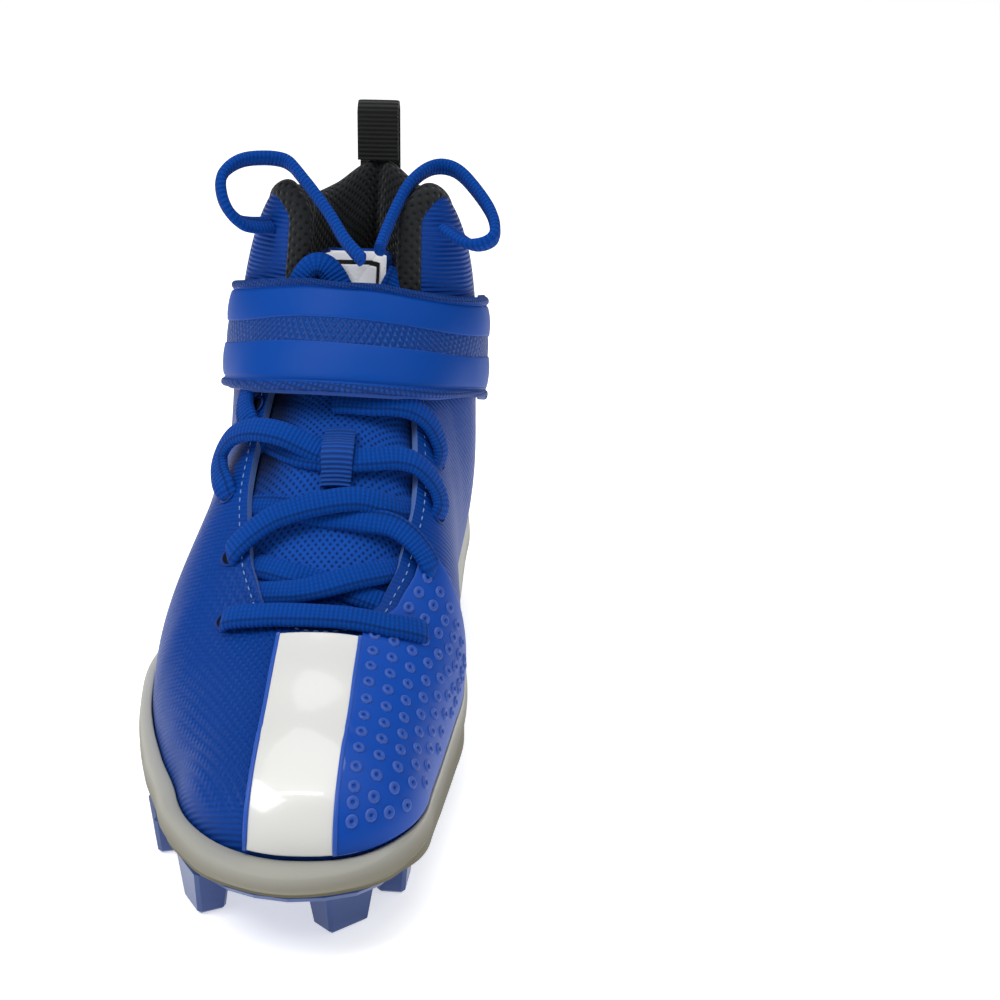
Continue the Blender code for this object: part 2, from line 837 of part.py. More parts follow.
def make_outsole(home, cutters, finish):
    """Moulded plate that follows the sole's underside, with its studs fused on."""

    def column(side, place):
        edge = reach(side, place) - PLATE_INSET - BUMPER_BULGE / 2
        return [
            spoke_point(side, place, 0.0, column="under"),
            spoke_point(side, place, edge - 0.0012, column="under"),
            spoke_point(side, place, edge, column="under", rise=PLATE_THICKNESS * 0.5),
            spoke_point(side, place, edge - 0.0006, column="under", rise=PLATE_THICKNESS),
            spoke_point(side, place, 0.0, column="under", rise=PLATE_THICKNESS),
        ]

    plate = place_object("outsole", grid_mesh("outsole", both_sides(SOLE_PLACES, column), True), home, finish)
    spots = dict(STUDS, ball_centre=CENTRE_STUD)
    for name, spot in spots.items():
        union = plate.modifiers.new(name, "BOOLEAN")
        union.operation = "UNION"
        union.solver = "EXACT"
        union.object = make_stud("stud_" + name, spot, cutters)
    return plate


def make_counter(home, finish):
    """Moulded cup around the heel, standing on the midsole's rim."""

    def column(side, place):
        foot = v_rim(side, place)
        rim = rib_at(rib_controls(side, place), foot)[1]
        low = v_at_up(side, place, rim + CURVED_CLEARANCE + COUNTER_THICKNESS / 4)
        high = v_at_up(side, place, along_table(COUNTER_TOPS, "up", place) * EAR_HEIGHT)
        rows = 5
        return [
            skin(side, place, low + (high - low) * k / rows, CURVED_CLEARANCE) for k in range(rows + 1)
        ]

    places = [11.0, 11.2, 11.5] + [12 + 0.5 * step for step in range(9)]
    lateral = [column(LATERAL, place) for place in places]
    medial = [column(MEDIAL, place) for place in reversed(places[:-1])]
    thing = place_object("heel_counter", grid_mesh("heel_counter", lateral + medial, False), home, finish)
    face_outward(thing, away_from_foot)
    solidify(thing, COUNTER_THICKNESS, 1)
    return thing


def make_stripe(home, finish):
    """Glossy band that runs over the toe from the bumper to the throat."""
    foot = to_y(TOE_POLE) - rib_at(rib_controls(LATERAL, 0), v_rim(LATERAL, 0))[0] + 0.0016
    head = to_y(THROAT_START) - 0.004
    across = [-1.0, -0.75, -0.4, 0.0, 0.4, 0.75, 1.0]
    steps = 15
    columns = []
    for step in range(steps + 1):
        y = foot + (head - foot) * (step / steps) ** 1.25
        columns.append([over_vamp(share * STRIPE_WIDTH / 2, y, OVERLAY_CLEARANCE)[0] for share in across])
    thing = place_object("vamp_stripe", grid_mesh("vamp_stripe", columns, False), home, finish)
    face_outward(thing, away_from_foot)
    solidify(thing, OVERLAY_THICKNESS, 1)
    return thing


def make_toe_panel(home, finish):
    """Grip panel over the medial side of the toe, between stripe, rim and throat."""
    border = STRIPE_WIDTH / 2 + 0.0012

    def column(place):
        along, _, way = spoke(MEDIAL, place)
        low = v_rim(MEDIAL, place)
        rim = rib_at(rib_controls(MEDIAL, place), low)[1]
        low = v_at_up(MEDIAL, place, rim + 0.0012)
        inner = max(border / abs(way[0]), throat_half(along) + EYESTAY_MARGIN)
        high = v_at_out(MEDIAL, place, inner)
        rows = 7
        return [
            skin(MEDIAL, place, low + (high - low) * k / rows, OVERLAY_CLEARANCE) for k in range(rows + 1)
        ]

    places = [0.80, 1.0, 1.5, 2.0, 2.5, 3.0, 3.5, 4.0, 4.5, 4.938, 5.2, 5.6, 6.0, 6.4]
    columns = [column(place) for place in places]
    thing = place_object("toe_panel", grid_mesh("toe_panel", columns, False), home, finish)
    face_outward(thing, away_from_foot)
    solidify(thing, OVERLAY_THICKNESS, 1)
    return thing


def v_below_top(side, place, distance):
    """The v that lies this far down the rib from the collar's edge."""
    top = v_top(side, place)
    steps = 60
    here = raw_point(side, place, top)
    walked = 0.0
    for k in range(1, steps + 1):
        v = top * (1 - k / steps)
        there = raw_point(side, place, v)
        stride = float(np.linalg.norm(there - here))
        if walked + stride >= distance:
            return top * (1 - (k - 1 + (distance - walked) / stride) / steps)
        walked += stride
        here = there
    return 0.0


def make_lining(home, finish):
    """Padded rim inside the collar, rolled over the edge from ear to ear."""

    def section(inside):
        padded = inside - LINING_THICKNESS
        return [
            (inside, -LINING_DEPTH),
            (inside, -0.55 * LINING_DEPTH),
            (inside, -0.20 * LINING_DEPTH),
            (inside, 0.0013),
            (-0.0014, 0.0013),
            (-0.0014, 0.55 * LINING_CREST),
            (inside - 0.15 * LINING_THICKNESS, LINING_CREST),
            (inside - 0.70 * LINING_THICKNESS, 0.85 * LINING_CREST),
            (padded, 0.0),
            (padded, -0.45 * LINING_DEPTH),
            (inside - 0.5 * LINING_THICKNESS, -0.92 * LINING_DEPTH),
        ]

    def ring(side, place):
        ear = max(0.0, 1 - abs(place - 10.3) / 1.3)
        inside = -(WALL + LINING_GAP + (LINING_EAR_GAP - LINING_GAP) * min(1.0, 2 * ear))
        top = v_top(side, place)
        edge = raw_point(side, place, top)
        rise = edge - raw_point(side, place, top - 0.04)
        rise = rise / np.linalg.norm(rise)
        points = []
        for lift, climb in section(inside):
            if climb <= 0:
                points.append(skin(side, place, v_below_top(side, place, -climb), lift))
            else:
                points.append(edge + lift * skin_normal(side, place, top) + climb * rise)
        return points

    places = [LINING_START] + [place for place in UPPER_PLACES if place > LINING_START]
    lateral = [ring(LATERAL, place) for place in places]
    medial = [ring(MEDIAL, place) for place in reversed(places[:-1])]
    return place_object("collar_lining", ring_mesh("collar_lining", lateral + medial, False), home, finish)


def tongue_point(share, along, drop):
    """Point of the tongue: share of its half width, and depth under the instep."""
    half = along_table(TONGUE_ROWS, "half", along) * BALL_WIDTH
    point, normal = over_vamp(share * half, to_y(along), 0.0)
    return point - drop * normal


def make_tongue(home, finish):
    """Padded tongue under the throat, thin where it is sewn in ahead."""
    shares = [-1.0, -0.7, -0.35, 0.0, 0.35, 0.7, 1.0]
    rings = []
    for step in range(19):
        along = TONGUE_ROWS[0].along + (TONGUE_ROWS[-1].along - TONGUE_ROWS[0].along) * step / 18
        body = along_table(TONGUE_ROWS, "body", along) * TONGUE_THICKNESS
        top = [tongue_point(share, along, TONGUE_DROP - TONGUE_THICKNESS / 2) for share in shares]
        bottom = [
            tongue_point(share, along, TONGUE_DROP - TONGUE_THICKNESS / 2 + body * (1 - 0.5 * abs(share)))
            for share in reversed(shares)
        ]
        rings.append(top + bottom)
    return place_object("tongue", ring_mesh("tongue", rings, False), home, finish)


def make_patch(name, along, length, width, thickness, clearance, home, finish):
    """Flat patch sewn on the tongue's front."""
    half = width / 2
    drop = TONGUE_DROP - TONGUE_THICKNESS / 2 - clearance
    columns = []
    for step in range(4):
        here = along + length / SHOE_LENGTH * 0.7 * (step / 3 - 0.5)
        row = []
        for share in (-1.0, -0.33, 0.33, 1.0):
            point, normal = over_vamp(share * half, to_y(here), 0.0)
            row.append(point - drop * normal)
        columns.append(row)
    thing = place_object(name, grid_mesh(name, columns, False), home, finish)
    face_outward(thing, away_from_foot)
    solidify(thing, thickness, 1)
    return thing


def ankle_axis():
    return np.array([spine_x(ANKLE_BACK), to_y(ANKLE_BACK)])


@lru_cache(maxsize=None)
def level_outline(side, up):
    """Turns and reaches of the closed last about the ankle at one height."""
    turns = []
    reaches = []
    axis = ankle_axis()
    ridge = [rib_controls(side, place)[3][1] for place in np.arange(5, 11)]
    front = float(np.interp(up, ridge, np.arange(5, 11)))
    for place in np.concatenate([[front], np.arange(math.ceil(front * 4 + 0.2) / 4, LAST_PLACE + 0.01, 0.25)]):
        if rib_controls(side, place)[3][1] < up and place > 10:
            continue
        point = raw_point(side, place, v_at_up(side, place, up))
        if place == front:
            point = raw_point(side, place, 1.0)
        turns.append(math.degrees(math.atan2(side * (point[0] - axis[0]), axis[1] - point[1])))
        reaches.append(math.hypot(point[0] - axis[0], point[1] - axis[1]))
    order = np.argsort(turns)
    return np.array(turns)[order], np.array(reaches)[order]


def ankle_point(turn, up):
    """Point of the closed last at a turn about the ankle and a height."""
    side = MEDIAL if turn >= 0 else LATERAL
    turns, reaches = level_outline(side, up)
    out = float(np.interp(abs(turn), turns, reaches))
    axis = ankle_axis()
    angle = math.radians(abs(turn))
    return np.array([axis[0] + side * out * math.sin(angle), axis[1] - out * math.cos(angle), up])


def ankle_normal(turn, up):
    around = ankle_point(turn + 3, up) - ankle_point(turn - 3, up)
    rise = ankle_point(turn, up + 0.003) - ankle_point(turn, up - 0.003)
    normal = np.cross(around, rise)
    return normal / np.linalg.norm(normal)


def make_strap(home, finish):
    """Moulded ankle strap in bands, from one side around the front to the other."""
    rings = []
    count = 28
    for step in range(count + 1):
        turn = STRAP_REACH * (2 * step / count - 1)
        bottom = along_table(STRAP_LEVELS, "bottom", abs(turn)) * EAR_HEIGHT
        top = along_table(STRAP_LEVELS, "top", abs(turn)) * EAR_HEIGHT
        ease = 0.5 + 0.5 * math.cos(math.radians(min(abs(turn) * 2.4, 180)))
        gap = STRAP_SIDE_GAP + (STRAP_FRONT_GAP - STRAP_SIDE_GAP) * ease
        ring = []
        for share, swell in STRAP_STEPS:
            up = bottom + (top - bottom) * share
            thick = STRAP_BORDER + STRAP_SWELL * swell
            ring.append(ankle_point(turn, up) + (gap + thick) * ankle_normal(turn, up))
        for share in (1.0, 0.75, 0.5, 0.25, 0.0):
            up = bottom + (top - bottom) * share
            ring.append(ankle_point(turn, up) + gap * ankle_normal(turn, up))
        rings.append(ring)
    return place_object("ankle_strap", ring_mesh("ankle_strap", rings, False), home, finish)


def make_pull_loop(home, finish):
    """Webbing loop at the back, sewn outside the collar and onto its crest."""
    back = raw_point(MEDIAL, LAST_PLACE, 1.0)
    outside = back[1] + CURVED_CLEARANCE + LOOP_THICKNESS / 2 + 0.0008
    inside = outside - LOOP_GAP - LOOP_THICKNESS
    base = back[2] + LINING_CREST + CLEARANCE + 0.0006
    crown = base + LOOP_RISE
    radius = (outside - inside) / 2
    path = []
    tail = v_below_top(MEDIAL, LAST_PLACE, LOOP_TAIL)
    for share in (1.0, 0.6, 0.3):
        v = 1.0 - (1.0 - tail) * share
        path.append(skin(MEDIAL, LAST_PLACE, v, CURVED_CLEARANCE + LOOP_THICKNESS / 2 + 0.0004)[1:])
    path.append(np.array([outside, back[2] + 0.001]))
    path.append(np.array([outside, base + 0.4 * (crown - base - radius)]))
    for step in range(7):
        angle = math.pi * step / 6
        path.append(
            np.array([(outside + inside) / 2 + radius * math.cos(angle), crown - radius + radius * math.sin(angle)])
        )
    path.append(np.array([inside, base]))
    rings = []
    for k, point in enumerate(path):
        ahead = path[min(k + 1, len(path) - 1)] - path[max(k - 1, 0)]
        ahead = ahead / np.linalg.norm(ahead)
        normal = np.array([-ahead[1], ahead[0]]) * LOOP_THICKNESS / 2
        ring = []
        for width, share in ((-1, 1), (1, 1), (1, -1), (-1, -1)):
            edge = point + share * normal
            ring.append((back[0] + width * LOOP_WIDTH / 2, edge[0], edge[1]))
        rings.append(ring)
    return place_object("pull_loop", ring_mesh("pull_loop", rings, False), home, finish)


def lace_rings(points, lift):
    """Flat oval rings of a lace that lies over the instep."""
    spots = []
    count = LACE_STEPS * (len(points) - 1)
    for step in range(count + 1):
        side, along = smooth([tuple(point) for point in points], step / LACE_STEPS)
        spots.append(over_vamp(side * BALL_WIDTH, to_y(along), lift))
    rings = []
    for k, (centre, normal) in enumerate(spots):
        ahead = spots[min(k + 1, count)][0] - spots[max(k - 1, 0)][0]
        across = np.cross(ahead, normal)
        across = across / np.linalg.norm(across)
        ring = []
        for share, rise in ((1, 0), (0.72, 0.9), (0, 1), (-0.72, 0.9), (-1, 0), (-0.72, -0.9), (0, -1), (0.72, -0.9)):
            ring.append(centre + across * share * LACE_WIDTH / 2 + normal * rise * LACE_THICKNESS / 2)
        rings.append(ring)
    return rings


def make_laces(home, cutters, finish):
    """The bar at the foot of the throat and the crossings above it."""
    place_object("lace_bar", ring_mesh("lace_bar", lace_rings(LACE_BAR, PANEL_LACE_LIFT), False), home, finish)
    for name, (lift, first, second) in LACE_CROSSES.items():
        strand = place_object(name, ring_mesh(name, lace_rings(first, lift), False), home, finish)
        other_mesh = ring_mesh(name + "_under", lace_rings(second, lift + 0.0002), False)
        other = place_object(name + "_under", other_mesh, cutters, finish)
        other.hide_render = True
        other.display_type = "WIRE"
        join = strand.modifiers.new("join", "BOOLEAN")
        join.operation = "UNION"
        join.solver = "EXACT"
        join.object = other


def make_lace_loops(home, finish):
    """The free loops of the lace at the two ears, as round cords."""
    per_span = 3
    for name, route in LOOP_ROUTES_MM.items():
        curve = bpy.data.curves.new(name, "CURVE")
        curve.dimensions = "3D"
        curve.bevel_depth = CORD_RADIUS
        curve.bevel_resolution = 2
        curve.use_fill_caps = True
        line = curve.splines.new("POLY")
        count = per_span * (len(route) - 1)
        line.points.add(count)
        for step in range(count + 1):
            spot = smooth(route, step / per_span) / 1000
            line.points[step].co = (*spot, 1.0)
        home.objects.link(bpy.data.objects.new(name, curve))
        curve.materials.append(finish)


def main():
    for thing in list(bpy.data.objects):
        bpy.data.objects.remove(thing, do_unlink=True)
    home = collection("baseball_cleat")
    cutters = collection("cutters")
    blue = material("royal_blue_synthetic", BLUE, 0.42)
    mesh_blue = material("blue_mesh", DARK_BLUE, 0.85)
    strap_blue = material("blue_moulded_strap", BLUE, 0.38)
    lace_blue = material("blue_lace", BLUE, 0.80)
    rubber = material("slate_blue_rubber", SLATE, 0.35)
    cream = material("cream_moulded_foam", CREAM, 0.55)
    white = material("white_patent", WHITE, 0.15)
    label_white = material("white_label", WHITE, 0.60)
    black = material("black_mesh", BLACK, 0.90)
    webbing = material("black_webbing", BLACK, 0.80)
    make_outsole(home, cutters, rubber)
    make_midsole(home, cream)
    make_counter(home, material("cream_counter", CREAM, 0.40))
    make_upper(home, blue)
    make_toe_panel(home, blue)
    make_stripe(home, white)
    make_lining(home, black)
    make_tongue(home, mesh_blue)
    label = (LABEL_PLACE, LABEL_LENGTH, LABEL_WIDTH, PATCH_THICKNESS, LABEL_CLEARANCE)
    keeper = (KEEPER_PLACE, KEEPER_LENGTH, KEEPER_WIDTH, KEEPER_THICKNESS, KEEPER_CLEARANCE)
    make_patch("tongue_label", *label, home, label_white)
    make_patch("lace_keeper", *keeper, home, lace_blue)
    make_insole(home, mesh_blue)
    make_strap(home, strap_blue)
    make_pull_loop(home, webbing)
    make_laces(home, cutters, lace_blue)
    make_lace_loops(home, lace_blue)
    bpy.context.view_layer.update()


main()
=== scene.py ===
"""Baseball cleat, the wearer's right shoe, dressed in its real finishes on a pale floor.

Lengths are in metres unless a name says millimetres, and +Z is up. The toe points along
-Y, the lateral side faces -X. Each sub-assembly is a class that shapes its own meshes on
the shoe's last and gives them their finishes.
"""

import logging
import math
from collections.abc import Callable
from dataclasses import dataclass, field
from enum import Enum

import bpy
import numpy as np
from mathutils import Matrix, Vector


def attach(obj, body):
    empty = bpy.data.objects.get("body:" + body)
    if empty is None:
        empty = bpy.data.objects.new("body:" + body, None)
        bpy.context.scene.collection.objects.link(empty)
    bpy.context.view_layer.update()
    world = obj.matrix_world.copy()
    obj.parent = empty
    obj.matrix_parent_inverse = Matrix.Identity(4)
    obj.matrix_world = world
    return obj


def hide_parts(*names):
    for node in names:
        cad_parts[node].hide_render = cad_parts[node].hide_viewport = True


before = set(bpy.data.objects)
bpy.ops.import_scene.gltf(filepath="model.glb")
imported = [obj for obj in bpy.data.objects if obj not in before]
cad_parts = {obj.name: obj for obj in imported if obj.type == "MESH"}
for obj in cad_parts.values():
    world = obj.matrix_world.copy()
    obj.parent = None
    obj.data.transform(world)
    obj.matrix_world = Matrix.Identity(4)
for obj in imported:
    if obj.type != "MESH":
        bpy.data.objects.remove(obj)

log = logging.getLogger("cleat")
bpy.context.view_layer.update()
Array = np.ndarray
Piece = bpy.types.Object
Tree = bpy.types.NodeTree
Socket = bpy.types.NodeSocket
Material = bpy.types.Material
LATERAL = -1
MEDIAL = 1
MM = 0.001

# One row a rib: along, turn, foot, low out, low up, high out, high up, top out, top up
LATERAL_RIBS = np.array([
    (0.15, 0, 0.312, 0.328, 0.245, 0.170, 0.275, 0.000, 0.302),
    (0.15, 30, 0.305, 0.328, 0.245, 0.175, 0.279, 0.000, 0.302),
    (0.15, 60, 0.310, 0.338, 0.248, 0.195, 0.290, 0.000, 0.302),
    (0.15, 90, 0.345, 0.370, 0.248, 0.212, 0.304, 0.000, 0.302),
    (0.22, 90, 0.415, 0.455, 0.247, 0.262, 0.338, 0.000, 0.336),
    (0.30, 90, 0.480, 0.530, 0.270, 0.315, 0.376, 0.000, 0.376),
    (0.37, 90, 0.520, 0.565, 0.290, 0.350, 0.482, 0.000, 0.485),
    (0.43, 90, 0.530, 0.575, 0.300, 0.365, 0.592, 0.000, 0.596),
    (0.50, 90, 0.480, 0.500, 0.315, 0.400, 0.700, 0.000, 0.706),
    (0.57, 90, 0.432, 0.440, 0.345, 0.400, 0.825, 0.000, 0.836),
    (0.63, 90, 0.395, 0.385, 0.355, 0.432, 0.865, 0.222, 1.000),
    (0.70, 90, 0.378, 0.380, 0.355, 0.410, 0.800, 0.287, 0.945),
    (0.77, 90, 0.360, 0.375, 0.355, 0.382, 0.735, 0.305, 0.892),
    (0.85, 90, 0.348, 0.385, 0.345, 0.333, 0.640, 0.290, 0.866),
    (0.85, 120, 0.347, 0.400, 0.345, 0.300, 0.640, 0.297, 0.858),
    (0.85, 150, 0.357, 0.415, 0.333, 0.270, 0.650, 0.318, 0.868),
    (0.85, 180, 0.368, 0.440, 0.320, 0.240, 0.655, 0.335, 0.912),
])
MEDIAL_RIBS = np.array([
    (0.15, 0, 0.312, 0.328, 0.245, 0.170, 0.275, 0.000, 0.302),
    (0.15, 30, 0.322, 0.343, 0.245, 0.180, 0.279, 0.000, 0.302),
    (0.15, 60, 0.315, 0.341, 0.248, 0.195, 0.290, 0.000, 0.302),
    (0.15, 90, 0.315, 0.347, 0.252, 0.198, 0.304, 0.000, 0.302),
    (0.22, 90, 0.330, 0.372, 0.255, 0.228, 0.339, 0.000, 0.336),
    (0.30, 90, 0.343, 0.405, 0.278, 0.287, 0.378, 0.000, 0.376),
    (0.37, 90, 0.352, 0.425, 0.300, 0.320, 0.484, 0.000, 0.485),
    (0.43, 90, 0.335, 0.412, 0.316, 0.330, 0.594, 0.000, 0.596),
    (0.50, 90, 0.315, 0.355, 0.333, 0.362, 0.702, 0.000, 0.706),
    (0.57, 90, 0.292, 0.330, 0.355, 0.385, 0.826, 0.000, 0.836),
    (0.63, 90, 0.292, 0.330, 0.355, 0.455, 0.865, 0.222, 1.000),
    (0.70, 90, 0.305, 0.345, 0.355, 0.440, 0.800, 0.287, 0.945),
    (0.77, 90, 0.322, 0.362, 0.355, 0.405, 0.735, 0.305, 0.892),
    (0.85, 90, 0.340, 0.380, 0.345, 0.333, 0.640, 0.290, 0.866),
    (0.85, 120, 0.345, 0.400, 0.345, 0.300, 0.640, 0.297, 0.858),
    (0.85, 150, 0.355, 0.415, 0.333, 0.270, 0.650, 0.318, 0.868),
    (0.85, 180, 0.368, 0.440, 0.320, 0.240, 0.655, 0.335, 0.912),
])
# Reach of the sole at each rib, lateral and medial
OUTLINE = np.array([
    (0.417, 0.417), (0.392, 0.396), (0.368, 0.350), (0.406, 0.342), (0.474, 0.358), (0.532, 0.378),
    (0.570, 0.388), (0.580, 0.382), (0.545, 0.360), (0.487, 0.335), (0.445, 0.335), (0.425, 0.350),
    (0.408, 0.368), (0.396, 0.386), (0.395, 0.392), (0.405, 0.402), (0.417, 0.417),
])
# Along, under, floor, rim
STACKS = np.array([
    (0.00, 0.450, 0.600, 0.705), (0.06, 0.385, 0.575, 0.712), (0.15, 0.320, 0.550, 0.725),
    (0.30, 0.283, 0.540, 0.760), (0.45, 0.290, 0.560, 0.830), (0.60, 0.325, 0.610, 0.925),
    (0.75, 0.313, 0.640, 1.000), (0.90, 0.288, 0.650, 1.025), (1.00, 0.313, 0.650, 1.050),
])
SPINE = np.array([
    (0.00, 0.100), (0.15, 0.100), (0.30, 0.095), (0.50, 0.100), (0.63, 0.080), (0.85, 0.022), (1.00, 0.020),
])
# Along, lateral half width, medial half width
THROAT = np.array([
    (0.295, 0.135, 0.135), (0.325, 0.180, 0.160), (0.36, 0.226, 0.200), (0.43, 0.262, 0.230), (0.52, 0.232, 0.205),
    (0.63, 0.185, 0.185),
])
COUNTER_TOPS = np.array([(11.0, 0.330), (11.4, 0.440), (12.0, 0.500), (13.0, 0.520), (14.5, 0.500), (16.0, 0.470)])
# Turn about the ankle from the lateral side to the medial one, bottom, top
STRAP_LEVELS = np.array([
    (-135, 0.530, 0.745), (-90, 0.597, 0.806), (-45, 0.645, 0.846), (0, 0.672, 0.852), (45, 0.641, 0.832),
    (90, 0.587, 0.788), (135, 0.526, 0.740),
])
# Along, half width, body
TONGUE_ROWS = np.array([
    (0.245, 0.120, 0.35), (0.275, 0.160, 0.45), (0.310, 0.200, 0.70), (0.350, 0.250, 1.00), (0.400, 0.285, 1.00),
    (0.450, 0.295, 1.00), (0.500, 0.275, 1.00), (0.545, 0.225, 1.00), (0.575, 0.165, 1.00), (0.595, 0.125, 0.70),
])


def ease(rows: Array, place: Array) -> Array:
    """Ease through rows set at whole numbers, with level ends.

    Args:
        rows: Values, one row a whole number.
        place: Where to read them.

    Returns:
        The eased values, with the shape of place and then that of one row.
    """
    rows = np.asarray(rows, float)
    last = len(rows) - 1
    place = np.clip(np.asarray(place, float), 0.0, last)
    start = np.minimum(place.astype(int), last - 1)
    here, there = rows[start], rows[start + 1]
    before = rows[np.where(start > 0, start - 1, 1)]
    after = rows[np.where(start + 2 <= last, np.minimum(start + 2, last), last - 1)]
    f = (place - start).reshape(place.shape + (1,) * (rows.ndim - 1))
    leave, arrive = (there - before) / 2, (after - here) / 2
    return (
        (2 * f**3 - 3 * f**2 + 1) * here
        + (f**3 - 2 * f**2 + f) * leave
        + (3 * f**2 - 2 * f**3) * there
        + (f**3 - f**2) * arrive
    )


def along_table(table: Array, column: int, along: Array) -> Array:
    """Ease one column of a table between rows that stand at uneven places."""
    return ease(table[:, column], np.interp(along, table[:, 0], np.arange(len(table))))


def ramp(value: Array, run: float) -> Array:
    """Share from 0 to 1 that a value reaches over a run."""
    return np.clip(value / run, 0, 1)


def solve(function: Callable[[Array], Array], target: Array, low: Array, high: Array) -> Array:
    """Where a function that falls from low to high passes the target, by halving.

    Args:
        function: Takes an array of places and gives an array of values.
        target: Value to find, for each place.
        low: Lower ends.
        high: Upper ends.

    Returns:
        The places.
    """
    for _ in range(34):
        middle = (low + high) / 2
        above = function(middle) > target
        low, high = np.where(above, middle, low), np.where(above, high, middle)
    return (low + high) / 2


def unit(vectors: Array) -> Array:
    """Vectors at length one."""
    return vectors / np.maximum(np.linalg.norm(vectors, axis=-1, keepdims=True), 1e-12)


def relax(values: Array, times: int) -> None:
    """Smooth rows in place along the first axis; the first and the last one stay."""
    for _ in range(times):
        values[1:-1] = values[:-2] / 4 + values[1:-1] / 2 + values[2:] / 4


@dataclass(frozen=True)
class Last:
    """The shoe's form: ribs that fan about the toe, run along the foot and fan at the heel."""

    length: float = 0.302
    ball: float = 0.108
    ear: float = 0.174
    stack: float = 0.040
    shaft_lean: float = 0.045
    foot_clearance: float = 0.0006
    throat_start: float = 0.295
    throat_run_in: float = 0.010
    ankle_back: float = 0.666
    toe_pole: float = 0.15

    def to_y(self, along: Array) -> Array:
        """Place along Y of a share of the length."""
        return (np.asarray(along, float) - 0.5) * self.length

    def to_along(self, y: Array) -> Array:
        """Share of the length at a place along Y."""
        return np.asarray(y, float) / self.length + 0.5

    def spine(self, along: Array) -> Array:
        """Sideways place of the spine."""
        return along_table(SPINE, 1, along) * self.ball

    def level(self, column: int, y: Array) -> Array:
        """Height of the sole's under (1), floor (2) or rim (3)."""
        return along_table(STACKS, column, self.to_along(y)) * self.stack

    def spoke(self, side: Array, place: Array) -> tuple[Array, Array, Array]:
        """Share of the length, spine point and outward direction of ribs, in plan.

        Args:
            side: LATERAL or MEDIAL for each rib.
            place: Rib numbers, whole or between.

        Returns:
            Shares, spine points and directions.
        """
        numbers = np.arange(len(LATERAL_RIBS))
        along = np.interp(place, numbers, LATERAL_RIBS[:, 0])
        turn = np.radians(np.interp(place, numbers, LATERAL_RIBS[:, 1]))
        return (
            along,
            np.stack([self.spine(along), self.to_y(along)], -1),
            np.stack([side * np.sin(turn), -np.cos(turn)], -1),
        )

    def reach(self, side: Array, place: Array) -> Array:
        """Distance of the sole's side from the spine."""
        both = ease(OUTLINE, place)
        return np.where(np.asarray(side) < 0, both[..., 0], both[..., 1]) * self.ball

    def controls(self, side: Array, place: Array) -> Array:
        """Four control points of each rib, as out and up pairs.

        Args:
            side: LATERAL or MEDIAL for each rib.
            place: Rib numbers, whole or between.

        Returns:
            The control points.
        """
        lateral, medial = ease(LATERAL_RIBS[:, 2:], place), ease(MEDIAL_RIBS[:, 2:], place)
        row = np.where((np.asarray(side) < 0)[..., None], lateral, medial)
        foot, low_out, low_up, high_out, high_up, top_out, top_up = np.moveaxis(row, -1, 0)
        _, spine, way = self.spoke(side, place)
        foot_up = self.level(2, spine[..., 1] + way[..., 1] * foot * self.ball) + self.foot_clearance
        outs = np.stack([foot, low_out, high_out, np.maximum(top_out, 0)], -1) * self.ball
        ups = np.stack([foot_up, low_up * self.ear, high_up * self.ear, top_up * self.ear], -1)
        return np.stack([outs, ups], -1)

    @staticmethod
    def rib(controls: Array, v: Array) -> Array:
        """Out and up of ribs at v, from 0 at the foot to 1 at the top.

        Args:
            controls: Control points, as out and up pairs.
            v: Shares up the ribs, 0 at the foot and 1 at the top.

        Returns:
            Pairs of out and up.
        """
        v = np.asarray(v, float)[..., None]
        w = 1 - v
        c = np.moveaxis(controls, -2, 0)
        return w**3 * c[0] + 3 * w * w * v * c[1] + 3 * w * v * v * c[2] + v**3 * c[3]

    def point(self, side: Array, place: Array, v: Array) -> Array:
        """Points of the upper's outer face.

        Args:
            side: LATERAL or MEDIAL.
            place: Rib numbers; past either end they carry on along the other side.
            v: Share up the rib.

        Returns:
            Points, one more axis than the arguments.
        """
        side, place, v = np.broadcast_arrays(np.asarray(side, float), np.asarray(place, float), np.asarray(v, float))
        end = len(LATERAL_RIBS) - 1
        side = np.where((place < 0) | (place > end), -side, side)
        place = np.where(place < 0, -place, np.where(place > end, 2 * end - place, place))
        along, spine, way = self.spoke(side, place)
        out, up = np.moveaxis(self.rib(self.controls(side, place), v), -1, 0)
        lean = self.shaft_lean * np.interp(along, [0.5, 0.85], [0.0, 1.0]) * (up - self.stack)
        x, y = spine[..., 0] + way[..., 0] * out + np.maximum(lean, 0), spine[..., 1] + way[..., 1] * out
        return np.stack([x, y, up], -1)

    def normal(self, side: Array, place: Array, v: Array) -> Array:
        """Outward normals of the upper's outer face.

        Args:
            side: LATERAL or MEDIAL for each rib.
            place: Rib numbers, whole or between.
            v: Shares up the ribs, 0 at the foot and 1 at the top.

        Returns:
            The normals, at length one.
        """
        step = 0.02
        v = np.minimum(v, 1 - step)
        up_rib = self.point(side, place, v + step / 2) - self.point(side, place, np.maximum(v - step / 2, 0))
        around = self.point(side, np.asarray(place) + step, v) - self.point(side, np.asarray(place) - step, v)
        return unit(np.cross(around, up_rib) * np.asarray(side, float)[..., None])

    def skin(self, side: Array, place: Array, v: Array, lift: Array = 0.0) -> Array:
        """Points lifted off the outer face along its normal."""
        side, place, v, lift = np.broadcast_arrays(side, place, v, lift)
        return self.point(side, place, v) + lift[..., None] * self.normal(side, place, v)

